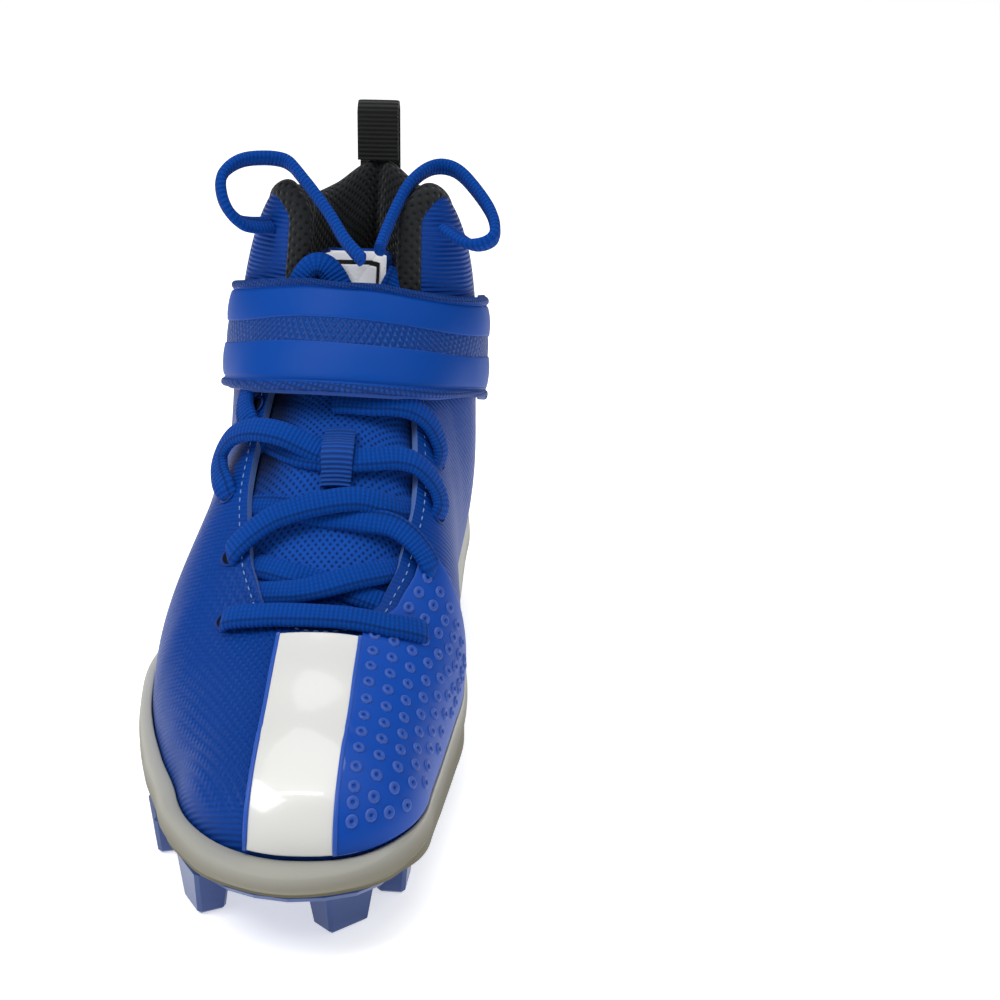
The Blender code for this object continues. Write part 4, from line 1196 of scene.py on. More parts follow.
# Plain moulded part of the strap, its beads
STRAP_SMOOTH = Finish("moulded_strap_blue", "#00439C", "#00307C", 0.52, grain=0.012, mottle=0.25, specular=0.12)
# Diamond relief moulded in the strap's middle band
STRAP_DIAMOND = Finish(
    "moulded_strap_diamond", "#03479E", "#012C70", 0.48, relief=Relief.DIAMOND, pitch=2.0, depth=0.5, turn=42,
    painted_hollow_shade=0.65,
)
# Braid moulded along the strap's borders
STRAP_BRAID = Finish(
    "braided_strap_border", "#04469F", "#01225A", 0.6, relief=Relief.WEAVE, pitch=2.0, depth=0.42, turn=35, painted_hollow_shade=0.75,
)
# Woven polyester lace, with the dark line of its flat edge
LACE = Finish(
    "woven_lace_blue", "#0049AA", "#002A68", 0.8, relief=Relief.CORD, pitch=1.4, depth=0.30, turn=0, painted_hollow_shade=0.52,
    sheen=0.03, wear=0.0, specular=0.08, seam=9.6,
)
# Ribbed polyester webbing of the lace keeper
WEBBING = Finish(
    "keeper_webbing_blue", "#034BA8", "#012765", 0.65, relief=Relief.RIBS, pitch=1.5, depth=0.35, turn=90, painted_hollow_shade=0.8,
    sheen=0.03, wear=0.0,
)
# Ribbed polyester webbing of the heel's pull loop
BLACK_WEBBING = Finish(
    "ribbed_webbing_black", "#1E2022", "#060607", 0.7, relief=Relief.RIBS, pitch=1.6, depth=0.35, turn=0, painted_hollow_shade=0.7,
    sheen=0.2, wear=0.0,
)
# Woven satin label, its white ground
LABEL_WHITE = Finish(
    "woven_label_white", "#F3F4F6", "#DADDE2", 0.6, relief=Relief.WEAVE, pitch=0.7, depth=0.08, painted_hollow_shade=0.25, wear=0.0,
)
# Woven satin label, its black frame
LABEL_BLACK = Finish(
    "woven_label_black", "#101114", "#050506", 0.6, relief=Relief.WEAVE, pitch=0.7, depth=0.08, painted_hollow_shade=0.25, wear=0.0,
)
# Woven lining glued inside the shell
LINING = Finish(
    "shell_lining_black", "#1A1C20", "#08090B", 0.85, relief=Relief.WEAVE, pitch=1.6, depth=0.2, painted_hollow_shade=0.5, wear=0.0,
    source=Source.OBJECT,
)
# Cloth over the sock liner's foam
SOCK_FOAM = Finish(
    "sock_liner_cloth", "#0C3A88", "#062252", 0.85, relief=Relief.WEAVE, pitch=1.2, depth=0.12, painted_hollow_shade=0.5, wear=0.0,
    source=Source.OBJECT,
)
# Pressed edge of the shell round each eyelet
EYELET = Finish("eyelet_rim_blue", "#073380", "#03235A", 0.5, source=Source.OBJECT, grain=0.02, wear=0.0)
# Near-black disc in each eyelet: the black lining and painted shadow seen through the hole
EYELET_SHADOW = Finish("eyelet_hole_shadow_painted", "#050A18", "#030610", 0.9, source=Source.OBJECT, grain=0.05, wear=0.0)
# Roll of white paper under the shoe
PAPER = Finish("white_paper", "#FFFFFF", "#F6F6F6", 0.9, source=Source.OBJECT, grain=0.0, mottle=0.1, wear=0.0)


def dress(piece: Piece, slot: str, *materials: Material) -> Piece:
    """Give a finished piece its materials and its body.

    Args:
        piece: Piece to work on.
        slot: Not used.
        materials: Materials, in order.

    Returns:
        The piece.
    """
    piece.data.materials.clear()
    for material in materials:
        piece.data.materials.append(material)
    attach(piece, "root")
    return piece


# ---------- sub-assemblies ----------


@dataclass
class Studio:
    """Camera at the photograph's angle, pale floor and soft light."""

    eye: tuple = (0.096, -0.695, 0.345)
    yaw: float = -2.9
    pitch: float = 20.6
    roll: float = 0.65
    lens: float = 82.8
    sky: float = 0.22
    floor_size: float = 14.0
    floor_glow: float = 0.58
    # Name, spot, length across and ahead, watts, target
    lamps: tuple = (
        ("key", (-0.70, -0.45, 1.20), (0.7, 0.7), 9.6, (0, 0, 0.06)),
        ("overhead", (0.1, 0.2, 1.9), (1.6, 1.4), 14.0, (0, 0, 0.06)),
        ("fill", (0.95, -0.30, 1.00), (0.7, 0.7), 2.4, (0, 0, 0.06)),
        ("bar", (-0.15, -0.33, 1.27), (0.5, 0.07), 2.0, (-0.15, -0.13, 0.045)),
    )

    def camera(self) -> None:
        """Set the scene's camera."""
        yaw, pitch, roll = (math.radians(a) for a in (self.yaw, self.pitch, self.roll))
        ahead = Vector((math.sin(yaw) * math.cos(pitch), math.cos(yaw) * math.cos(pitch), -math.sin(pitch)))
        level = Vector((math.cos(yaw), -math.sin(yaw), 0))
        over = level.cross(ahead)
        right = math.cos(roll) * level + math.sin(roll) * over
        up = math.cos(roll) * over - math.sin(roll) * level
        data = bpy.data.cameras.new("camera")
        data.lens, data.sensor_width, data.clip_start = self.lens, 36.0, 0.01
        thing = bpy.data.objects.new("camera", data)
        bpy.context.scene.collection.objects.link(thing)
        turn = Matrix((right, up, -ahead)).transposed().to_4x4()
        thing.matrix_world = Matrix.Translation(self.eye) @ turn
        bpy.context.scene.camera = thing

    def lamp(self, name: str, spot: tuple, size: tuple, power: float, target: tuple) -> None:
        """Add a soft oblong light that looks at a target.

        Args:
            name: Name of the light.
            spot: Where it hangs.
            size: Its length across and its length ahead.
            power: Its power in watts.
            target: Point that it looks at.
        """
        data = bpy.data.lights.new(name, "AREA")
        data.shape = "RECTANGLE"
        data.size, data.size_y, data.energy = size[0], size[1], power
        thing = bpy.data.objects.new(name, data)
        thing.location = spot
        thing.rotation_euler = (Vector(target) - Vector(spot)).to_track_quat("-Z", "Y").to_euler()
        bpy.context.scene.collection.objects.link(thing)

    def light(self) -> None:
        """Set the sky and the lamps."""
        world = bpy.data.worlds.new("studio")
        world.use_nodes = True
        back = world.node_tree.nodes["Background"]
        back.inputs["Color"].default_value = (1, 1, 1, 1)
        back.inputs["Strength"].default_value = self.sky
        bpy.context.scene.world = world
        bpy.context.scene.view_settings.view_transform = "Standard"
        for lamp in self.lamps:
            self.lamp(*lamp)

    def floor(self) -> None:
        """Lay the pale floor."""
        clear_selection()
        bpy.ops.mesh.primitive_grid_add(x_subdivisions=24, y_subdivisions=24, size=self.floor_size, location=(0, 2, 0))
        piece = bpy.context.active_object
        piece.name = piece.data.name = "studio_floor"
        bpy.ops.object.transform_apply(location=True, rotation=True, scale=True)
        paper = PAPER.make()
        shader = paper.node_tree.nodes["Principled BSDF"]
        shader.inputs["Emission Color"].default_value = (1, 1, 1, 1)
        shader.inputs["Emission Strength"].default_value = self.floor_glow
        piece.data.materials.append(paper)


@dataclass
class LaceLoops:
    """The free loops of the lace at the ears, as flat tubular cords."""

    width: float = 0.0066
    thickness: float = 0.0036
    routes_mm: dict = field(default_factory=lambda: {
        "lace_loop_lateral": [
            (-17.8, 36.5, 163.5), (-25, 28, 166), (-30, 26, 172), (-32, 29, 179), (-30, 33, 183),
            (-24, 38, 185), (-13, 41, 184), (-6, 36, 179), (3, 28, 170), (9, 21, 163), (15, 16, 158),
        ],
        "lace_loop_medial": [
            (40.2, 34.4, 164.4), (49, 27, 161), (56, 27, 163), (56, 33, 168), (51, 41, 174),
            (43, 49, 180), (35, 49, 181), (28, 41, 177), (23, 31, 168), (20, 21, 160),
        ],
    })

    def build(self) -> None:
        lace = LACE.make()
        for name, route in self.routes_mm.items():
            spots = np.linspace(0, len(route) - 1, 3 * (len(route) - 1) + 1)
            path = ease(np.array(route, float), spots) * MM
            (fine,) = even(ease(path, np.linspace(0, len(path) - 1, 400)), pitch=0.0007)
            ahead = unit(np.gradient(fine, axis=0))
            middle = np.mean(fine, axis=0)
            face = unit(fine - middle)
            face = unit(face - ahead * (face * ahead).sum(1, keepdims=True))
            piece = sweep(name + "_cord", fine, face, oval(self.width, self.thickness, 14, 0.8))
            smooth_shade(piece, 60)
            dress(piece, "lace", lace)
            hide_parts(name)


@dataclass
class Lacing:
    """The lace over the instep: each strand from its eyelet, over the throat, under the far edge."""

    width: float = 0.0081
    thickness: float = 0.0033
    smoothing: int = 12
    eyelet_radius: float = 0.0031
    eyelets_mm: tuple = (
        (-30.3, -56.0), (31.0, -55.0), (-31.4, -38.0), (31.2, -36.4), (-35.4, -17.6), (31.4, -17.6), (30.3, -1.0),
        (-29.0, 4.0),
    )
    # Offset from the spine, place along Y and height over the last, in millimetres
    strands_mm: dict = field(default_factory=lambda: {
        "lace_strand_bar": [
            (-30.8, -55.6, -2.4), (-28.5, -56.5, 1.7), (-19.5, -58.5, 2.4), (-6.5, -60, 2.5), (6, -60.5, 2.5),
            (18, -60, 2.4), (25, -58, 2.3), (29.5, -55.8, 1.6), (31.4, -54.6, -2.4),
        ],
        "lace_strand_low_over": [
            (-27.5, -48, -4.4), (-20.5, -50, -3.4), (-10, -52, -0.9), (-1.5, -51.5, 0.4), (7, -49, 0.3),
            (14.5, -46, -0.9), (21.5, -42, -3.2), (27, -38, -4.4),
        ],
        "lace_strand_low_under": [
            (-30, -38.5, -4.4), (-24, -42, -3.8), (-13.5, -46.5, -2.2), (-5.5, -48.5, -3.0), (2.5, -50, -3.2),
            (11, -51.5, -2.8), (18.5, -52, -3.3), (23, -51.5, -4.4),
        ],
        "lace_strand_mid_over": [
            (-32, -37.4, -2.4), (-30, -37.5, 1.3), (-24.5, -35.5, 2.1), (-18, -33.5, 1.6), (-10.5, -32.5, 1.1),
            (-2, -31.5, 0.8), (7.5, -30, 0.3), (15.5, -29, -0.9), (22.5, -26, -3.2), (29, -20, -4.6),
        ],
        "lace_strand_mid_under": [
            (31.6, -35.6, -2.4), (30, -37, 1.5), (27, -35.4, 2.1), (22.5, -34, 1.9), (17.5, -33.5, 0.8),
            (11.5, -34, -0.9), (4.5, -34, -2.3), (-3, -33.5, -2.9), (-13.5, -31, -2.8), (-24, -27, -3.8),
            (-30, -24, -4.6),
        ],
        "lace_strand_keeper_left": [
            (-35.8, -18.6, -2.4), (-35.6, -16.2, 1.5), (-36.6, -10.5, 3.2), (-36, -5.4, 4.4), (-32.5, -4.4, 5.0),
            (-27.5, -6.8, 4.8), (-22, -10.2, 4.1), (-16, -13.6, 2.4), (-11.5, -16, 0.2), (-5.5, -18.6, -1.6),
            (0, -19.6, -1.9),
        ],
        "lace_strand_keeper_right": [
            (0, -19.6, -1.9), (5, -20.6, -1.4), (11.5, -19.2, -0.5), (18, -16.5, 0.9), (22.5, -15, 2.3),
            (26.5, -14.5, 2.5), (29.5, -14.8, 2.1), (31, -16.6, 1.3), (31.8, -18.8, -2.4),
        ],
        "lace_strand_keeper_back": [
            (-31, -1, -4.6), (-24, -9.5, -3.7), (-14.5, -17, -2.7), (-6.5, -20, -2.5), (0, -20.6, -2.8), (8, -20, -3.0),
        ],
        "lace_strand_high_right": [
            (-3, -5, -2.2), (7.5, -5.4, -0.2), (14.5, -3.6, 1.3), (20, -1.4, 2.4), (24.5, 0.2, 2.5), (27.6, 0.4, 2.2),
            (29.6, -0.4, 1.4), (30.8, -2.4, -2.4),
        ],
        "lace_strand_high_left": [
            (-29.5, 14, 2.2), (-30.6, 9, 2.6), (-31, 4.4, 2.4), (-29.6, -1.6, 1.6), (-28.4, -6.4, -1.6),
            (-27, -9, -4.2),
        ],
        "lace_strand_label_left": [
            (-23, 18, -1.6), (-19, 23.5, 1.4), (-13, 26.4, 2.6), (-7, 25, 2.0), (-2, 20, 0.8), (0, 14, -0.6),
        ],
        "lace_strand_label_right": [(15.5, 27, -3.4), (13, 24, -1.4), (11, 20, -0.6), (10, 14, -1.4)],
    })

    def build(self) -> None:
        """Lay every strand, press the eyelets' rims and lay a disc of painted shadow in each eyelet."""
        lace = LACE.make()
        profile = oval(self.width, self.thickness, 18, 0.75)
        for name, route in self.strands_mm.items():
            table = np.array(route, float) * MM
            spots = ease(table, np.linspace(0, len(table) - 1, 260))
            points, normals = LAST.over(spots[:, 0], spots[:, 1], spots[:, 2])
            relax(points, self.smoothing)
            relax(normals, self.smoothing)
            points, normals = even(points, normals, pitch=0.0006)
            piece = sweep(name, points, unit(normals), profile)
            smooth_shade(piece, 60)
            dress(piece, "lace", lace)
            log.info("%s: %.0f mm", name, walk(points)[-1] / MM)
        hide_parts("lace_bar")
        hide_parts("lace_cross_1")
        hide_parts("lace_cross_2")
        spots = np.array(self.eyelets_mm) * MM
        points, normals = LAST.over(spots[:, 0], spots[:, 1], np.full(len(spots), 0.0002))
        clear_selection()
        bpy.ops.mesh.primitive_torus_add(
            major_segments=28, minor_segments=8, major_radius=self.eyelet_radius, minor_radius=0.0005
        )
        model = bpy.context.active_object
        squash(model, (1, 0.9, 0.8))
        ahead = np.array([1.0, 0, 0])
        rims = copies("eyelet_rims", model, [stand(p, n, ahead) for p, n in zip(points, normals)])
        smooth_shade(rims, 60)
        dress(rims, "upper_synthetic", EYELET.make())
        # Near-black discs in the eyelets: the lining's dark colour and painted shadow
        clear_selection()
        bpy.ops.mesh.primitive_circle_add(vertices=24, radius=self.eyelet_radius, fill_type="NGON")
        model = bpy.context.active_object
        shadow_discs = copies("eyelet_shadow_discs", model, [stand(p + n * 0.0001, n, ahead) for p, n in zip(points, normals)])
        dress(shadow_discs, "upper_synthetic", EYELET_SHADOW.make())


@dataclass
class EarPads:
    """Padded mesh that rolls forward out of the collar along each ear's front edge."""

    width: float = 0.0085
    depth: float = 0.0065
    inset: float = 0.0018
    sink: float = 0.0022
    behind: float = 0.0030
    above: float = 0.0012
    # Shares of the length along the throat, then rib numbers along the collar
    throat_run: tuple = (0.535, 0.628)
    collar_run: tuple = (10.12, 12.2)
    smoothing: int = 10

    def build(self) -> None:
        """Lay the roll along both ears."""
        knit = KNIT.make()
        for side, word in ((LATERAL, "lateral"), (MEDIAL, "medial")):
            along = np.linspace(*self.throat_run, 14)
            half = LAST.throat_half(side, along) - self.inset
            low, low_normal = LAST.over(side * half, LAST.to_y(along), np.full(14, -self.sink))
            places = np.linspace(*self.collar_run, 16)
            sides = np.full(16, float(side))
            top, top_normal = LAST.point(sides, places, 1.0), LAST.normal(sides, places, np.full(16, 1.0))
            top = top - top_normal * self.behind + np.array([0, 0, self.above])
            path = np.concatenate([low, top])
            facing = unit(np.concatenate([low_normal, top_normal * 0.5 + np.array([0, -0.3, 0.8])]))
            path, facing = even(path, facing, pitch=0.0012)
            relax(path, self.smoothing)
            relax(facing, self.smoothing)
            share = np.linspace(0, 1, len(path))
            widths = np.clip(np.minimum(share / 0.10, (1 - share) / 0.45), 0.05, 1) ** 0.5
            piece = sweep("ear_pad_" + word, path, unit(facing), oval(self.width, self.depth, 24, 0.9), widths)
            smooth_shade(piece, 60)
            dress(piece, "collar_mesh", knit)


@dataclass
class Upper:
    """One moulded shell from toe to collar, with its stitching."""

    wall: float = 0.0025
    rows: int = 56
    swell: float = 0.0034
    swell_at: tuple = (0.036, 0.072)
    swell_spread: tuple = (0.030, 0.032)
    swell_back: float = 0.060
    sag_low: float = 0.038
    stitch_inset: float = 0.0024
    stitch_pitch: float = 0.0030
    # Limits of the patterns: shares of the length, shares of the ear's height, rib numbers and a reach in plan
    knurl_back: float = 0.44
    knurl_low: float = 0.20
    knurl_reach: float = 0.040
    ribs_low: float = 0.72
    cloth_places: tuple = (9.2, 12.9)
    cloth_rises: tuple = (0.47, 0.74)
    # Middle along Y, slope, width, depth, place across and spread of each flex trough
    troughs: tuple = (
        (-0.062, 0.35, 0.006, 0.00045, -0.026, 0.016),
        (-0.050, 0.45, 0.007, 0.00055, -0.036, 0.014),
        (-0.036, -0.20, 0.006, 0.00035, 0.030, 0.012),
        (0.004, 0.60, 0.008, 0.00060, -0.034, 0.014),
        (0.010, -0.55, 0.008, 0.00060, 0.032, 0.012),
    )

    def places(self) -> Array:
        """Rib numbers of the mesh's columns."""
        runs = ((0, 3, 31), (3, 4.9, 20), (4.9, 5.5, 25), (5.5, 9, 43), (9, 11, 31), (11, 16, 56))
        return np.unique(np.concatenate([np.linspace(*run) for run in runs] + [[4.9375]]))

    def build(self) -> None:
        """Shape the shell and give it its wall."""
        side, place = LAST.around(self.places())
        rim, top = LAST.v_rim(side, place), LAST.v_top(side, place)
        low = rim[:, None] * np.linspace(0, 1, 6)[None]
        high = rim[:, None] + (top - rim)[:, None] * np.linspace(0, 1, self.rows)[None, 1:]
        v = np.concatenate([low, high], 1)
        points = LAST.point(side[:, None], place[:, None], v)
        normal = LAST.normal(side[:, None], place[:, None], v)
        points = points - normal * self.sag(points, side[:, None])[..., None]
        piece = grid("upper_shell", points)
        x, y, z = np.moveaxis(points, -1, 0)
        along = LAST.to_along(y)
        offset = x - LAST.spine(along)
        rise = z / LAST.ear
        front = ramp(self.knurl_back - along, 0.12) * ramp(rise - self.knurl_low, 0.05)
        near = np.clip(1.25 - np.abs(offset) / self.knurl_reach, 0, 1)
        lateral = (side[:, None] < 0) * np.ones_like(v)
        ear = ramp(rise - self.ribs_low, 0.06)
        mark(piece, "knurl", front * near * lateral)
        mark(piece, "lines", np.clip(1 - front * near, 0, 1) * (1 - ear))
        mark(piece, "ribs", ear)
        first, last = self.cloth_places
        low, high = self.cloth_rises
        ahead = (place[:, None] - first - 2.2 * np.clip(0.72 - rise, 0, 1)) / 0.9
        behind = (last - place[:, None] - 1.6 * np.clip(0.62 - rise, 0, 1)) / 0.9
        cloth = np.minimum(np.minimum(ahead, behind), np.minimum((rise - low) / 0.10, (high - rise) / 0.06))
        mark(piece, "textile", np.clip(cloth, 0, 1) * lateral)
        weld(piece)
        face_away(piece, np.array([0.010, 0.0, 0.055]))
        dress(piece, "upper_synthetic", UpperSkin().make(), TRIM.make(), LINING.make())
        finish_with(
            piece, "SOLIDIFY", thickness=self.wall, offset=-1, use_even_offset=False, use_rim=True, material_offset=2,
            material_offset_rim=1
        )
        smooth_shade(piece, 45)
        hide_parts("upper")
        log.info("upper shell: %d faces", len(piece.data.polygons))
        self.stitches()

    def sag(self, points: Array, side: Array) -> Array:
        """Depth of the soft troughs where the vamp and quarters flex.

        Args:
            points: Points of the shell.
            side: LATERAL or MEDIAL, for each column.

        Returns:
            Depth below the last at each point.
        """
        x, y, z = np.moveaxis(points, -1, 0)
        offset = x - LAST.spine(LAST.to_along(y))
        depth = np.zeros_like(x)
        for middle, slope, width, deep, across, spread in self.troughs:
            run = (y - middle - slope * (offset - across)) / width
            depth += deep * np.exp(-(run**2) - ((offset - across) / spread) ** 2)
        run, rise = (y - self.swell_at[0]) / self.swell_spread[0], (z - self.swell_at[1]) / self.swell_spread[1]
        full = self.swell * np.exp(-(run**2) - rise**2) * ramp(self.swell_back - y, 0.016) * (side > 0)
        return (depth - full) * ramp(z - self.sag_low, 0.012)

    def throat_line(self, inset: float) -> tuple[Array, Array]:
        """Line at a distance outside the throat's edge, from the lateral ear round to the medial one.

        Args:
            inset: Distance from the edge, in plan.

        Returns:
            Points and normals.
        """
        along = LAST.throat_start + (0.525 - LAST.throat_start) * np.linspace(0, 1, 500) ** 2
        halves = []
        for side in (LATERAL, MEDIAL):
            edge = np.stack([LAST.throat_half(side, along), LAST.to_y(along)], -1)
            run = unit(np.gradient(edge, axis=0))
            halves.append(edge + np.stack([run[:, 1], -run[:, 0]], -1) * inset)
        line = np.concatenate([halves[0][::-1] * (-1, 1), halves[1]])
        return LAST.over(line[:, 0], line[:, 1], 0.0001)

    def stitches(self) -> None:
        """Sew the row of pale stitches along the throat."""
        points, normals = self.throat_line(self.stitch_inset)
        points, normals = even(points, normals, pitch=self.stitch_pitch)
        clear_selection()
        bpy.ops.mesh.primitive_uv_sphere_add(segments=8, ring_count=5, radius=0.5)
        model = bpy.context.active_object
        squash(model, (0.0018, 0.00045, 0.0004))
        ahead = np.gradient(points, axis=0)
        piece = copies("throat_stitches", model, [stand(p, n, a) for p, n, a in zip(points, normals, ahead)])
        smooth_shade(piece, 60)
        dress(piece, "upper_synthetic", THREAD.make())


@dataclass
class GripPanel:
    """Film over the medial toe with rows of raised rings that have a dimple each."""

    lift: float = 0.0006
    thickness: float = 0.0009
    border: float = 0.0127
    margin: float = 0.0045
    ring_pitch: float = 0.0059
    row_pitch: float = 0.0073
    ring_outer: float = 0.00182
    ring_tube: float = 0.00068
    rim_room: float = 0.0042
    last_place: float = 6.25
    # Shares of the length between which the rows stand, and how far out they go in plan
    rows_run: tuple = (0.045, 0.366)
    across_reach: float = 0.062

    def build(self) -> None:
        """Shape the film and stand the rings on it."""
        runs = ((0.66, 4.9, 66), (4.9, 5.4, 14), (5.4, 6.4, 14))
        places = np.unique(np.concatenate([np.linspace(*run) for run in runs]))
        side = np.full(len(places), float(MEDIAL))
        along, _, way = LAST.spoke(side, places)
        rim_v = LAST.v_rim(side, places)
        rim = LAST.rib(LAST.controls(side, places), rim_v)[:, 1]
        low = LAST.v_at_up(side, places, rim + 0.0012)
        inner = np.maximum(self.border / np.abs(way[:, 0]), LAST.throat_half(MEDIAL, along) + self.margin)
        high = np.maximum(LAST.v_at_out(side, places, inner), low + 0.004)
        v = low[:, None] + (high - low)[:, None] * np.linspace(0, 1, 40)[None]
        piece = grid("grip_panel", LAST.skin(side[:, None], places[:, None], v, self.lift))
        face_away(piece, np.array([0.010, -0.06, 0.02]))
        thicken(piece, self.thickness, 0.0004)
        blue = GRIP.make()
        dress(piece, "grip_panel", blue)
        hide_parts("toe_panel")
        self.rings(blue)

    def rings(self, blue: Material) -> None:
        """Stand the dimpled rings in rows across the film.

        Args:
            blue: Material of the film.
        """
        spots = []
        ahead = np.linspace(*(float(LAST.to_y(share)) for share in self.rows_run), 400)
        (rows,) = even(LAST.over(np.full(400, 0.024), ahead)[0], pitch=self.row_pitch)
        for y in rows[:, 1]:
            across = np.linspace(0.0, self.across_reach, 240)
            line, _ = LAST.over(across, np.full(240, y), 0.0)
            run = walk(line)
            along = float(LAST.to_along(y))
            start = max(self.border + 0.0035, float(LAST.throat_half(MEDIAL, along)) + self.margin + 0.0028)
            begin = float(np.interp(start, across, run))
            for k in range(12):
                offset = float(np.interp(begin + k * self.ring_pitch, run, across))
                if offset >= self.across_reach - 0.0005:
                    break
                side, place, v = LAST.over_place(np.array([offset]), np.array([y]))
                height = LAST.point(side, place, v)[0, 2]
                rim = LAST.rib(LAST.controls(side, place), LAST.v_rim(side, place))[0, 1]
                if height < rim + self.rim_room or v[0] < 0.2 or place[0] > self.last_place:
                    break
                point, normal = LAST.over(np.array([offset]), np.array([y]), self.lift + self.thickness)
                spots.append(stand(point[0], normal[0], np.array([0.0, 1.0, 0.0])))
        clear_selection()
        bpy.ops.mesh.primitive_torus_add(
            major_segments=20, minor_segments=8, major_radius=self.ring_outer - self.ring_tube,
            minor_radius=self.ring_tube,
        )
        model = bpy.context.active_object
        squash(model, (1.15, 1, 0.8))
        piece = copies("grip_rings", model, spots)
        smooth_shade(piece, 60)
        dress(piece, "grip_panel", blue)
        log.info("grip rings: %d", len(spots))


@dataclass
class VampStripe:
    """Glossy white band over the toe between two thin blue borders."""

    lift: float = 0.0006
    thickness: float = 0.0009
    width: float = 0.0238
    border: float = 0.0007
    smoothing: int = 50

    def line(self, offset: float, lift: float) -> tuple[Array, Array]:
        """Evenly spaced line from the throat down to the bumper at one offset from the spine.

        Args:
            offset: Distance from the spine, in plan.
            lift: Height over the upper.

        Returns:
            Points and normals.
        """
        head = float(LAST.to_y(LAST.throat_start)) - 0.004
        spot = np.array([offset])

        def height(ahead: Array) -> Array:
            """Height of the upper at a distance ahead of the band's top."""
            side, place, v = LAST.over_place(spot, head - ahead)
            return LAST.point(side, place, v)[:, 2]

        rim = float(LAST.level(3, LAST.to_y(0.03))) + 0.0012
        reach = float(solve(height, np.array([rim]), np.array([0.0]), np.array([0.098]))[0])
        y = head - reach * np.linspace(0, 1, 500) ** 0.6
        points, normals = LAST.over(np.full(500, offset), y, lift)
        run = walk(points)
        spots = np.linspace(0, run[-1], 110)
        return read(points, run, spots), unit(read(normals, run, spots))

    def build(self) -> None:
        """Shape the band and lay its borders."""
        across = np.linspace(-1, 1, 27) * self.width / 2
        points = np.stack([self.line(offset, self.lift)[0] for offset in across], 1)
        relax(points, self.smoothing)
        piece = grid("stripe_film", points)
        face_away(piece, np.array([0.010, -0.06, 0.02]))
        thicken(piece, self.thickness, 0.0003)
        dress(piece, "white_patent", PATENT.make())
        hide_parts("vamp_stripe")
        blue = PIPING.make()
        edges = []
        for way in (-1, 1):
            line, normal = self.line(way * (self.width / 2 + self.border * 0.4), self.lift + self.thickness * 0.8)
            edges.append(sweep("stripe_border", line, normal, oval(self.border * 2, self.border * 1.5, 10, 0.9)))
        borders = join("stripe_borders", edges)
        smooth_shade(borders, 60)
        dress(borders, "grip_panel", blue)


@dataclass
class Sole:
    """Foam midsole with its bumper and rim, and the studded plate under it."""

    plate_thickness: float = 0.003
    clearance: float = 0.0003
    curved_clearance: float = 0.00045
    bulge: float = 0.0045
    rim_round: float = 0.0022
    rim_least: float = 0.0013
    # Bulge of the side wall, as a share, and share of the way up
    wall: tuple = (
        (-1.0, 0.0), (-0.55, 0.10), (-0.28, 0.22), (-0.06, 0.38), (0.0, 0.52), (-0.03, 0.66), (-0.10, 0.78),
        (-0.16, 0.88),
    )

    def build(self) -> None:
        """Shape the midsole and finish the plate."""
        side, place = LAST.around(np.linspace(0, 16, 129))
        outer = LAST.reach(side, place)
        _, spine, way = LAST.spoke(side, place)
        y = spine[:, 1] + way[:, 1] * outer
        bottom = LAST.level(1, y) + self.plate_thickness + self.clearance
        rim = LAST.level(3, y)
        controls, v = LAST.controls(side, place), LAST.v_rim(side, place)
        inner = LAST.rib(controls, v)[:, 0] + self.curved_clearance
        middle = LAST.rib(controls, v / 2)
        foot = controls[:, 0, 0] + self.curved_clearance
        lip = np.maximum(outer - self.rim_round, inner + self.rim_least)
        table = np.array(self.wall)
        wall = ease(table, np.linspace(0, len(table) - 1, 26))
        rows = [LAST.sole_point(side, place, outer * 0, 1, self.plate_thickness + self.clearance)]
        for out, share in wall:
            reach = np.maximum(outer + out * self.bulge, lip)
            rows.append(LAST.spoke_point(side, place, reach, bottom + share * (rim - bottom)))
        last_out = np.maximum(outer - 0.16 * self.bulge, lip)
        for angle in np.radians([18, 36, 54, 72, 90]):
            out = lip + (last_out - lip) * math.cos(angle)
            rows.append(LAST.spoke_point(side, place, out, rim - 0.12 * (rim - bottom) * (1 - math.sin(angle))))
        rows += [
            LAST.spoke_point(side, place, inner + 0.0004, rim),
            LAST.spoke_point(side, place, inner, rim - 0.0004),
            LAST.spoke_point(side, place, middle[:, 0] + self.curved_clearance, middle[:, 1]),
            LAST.sole_point(side, place, foot, 2, 0.0),
            LAST.sole_point(side, place, outer * 0, 2, 0.0),
        ]
        piece = grid("midsole_foam", np.stack(rows, 1))
        weld(piece)
        smooth_shade(piece, 50)
        dress(piece, "midsole_foam", FOAM.make())
        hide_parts("midsole")
        plate = bpy.data.objects["outsole"]
        rubber = RUBBER.make()
        for slot in plate.material_slots:
            slot.material = rubber
        log.info("midsole: %d faces", len(piece.data.polygons))


@dataclass
class HeelCounter:
    """Moulded cup round the heel, on the midsole's rim."""

    gap: float = 0.00045
    thickness: float = 0.0018

    def build(self) -> None:
        """Shape the cup."""
        places = np.linspace(11, 16, 81)
        side, place = LAST.around(places)
        foot = LAST.v_rim(side, place)
        rim = LAST.rib(LAST.controls(side, place), foot)[:, 1]
        low = LAST.v_at_up(side, place, rim + self.gap + self.thickness / 4)
        high = LAST.v_at_up(side, place, along_table(COUNTER_TOPS, 1, place) * LAST.ear)
        v = low[:, None] + (high - low)[:, None] * np.linspace(0, 1, 30)[None]
        points = LAST.skin(side[:, None], place[:, None], v, self.gap)
        piece = grid("heel_shell", points)
        weld(piece, recalculate=False)
        face_away(piece, np.array([0.0, 0.10, 0.06]))
        thicken(piece, self.thickness, 0.0006, segments=3)
        dress(piece, "counter_moulding", COUNTER.make())
        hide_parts("heel_counter")


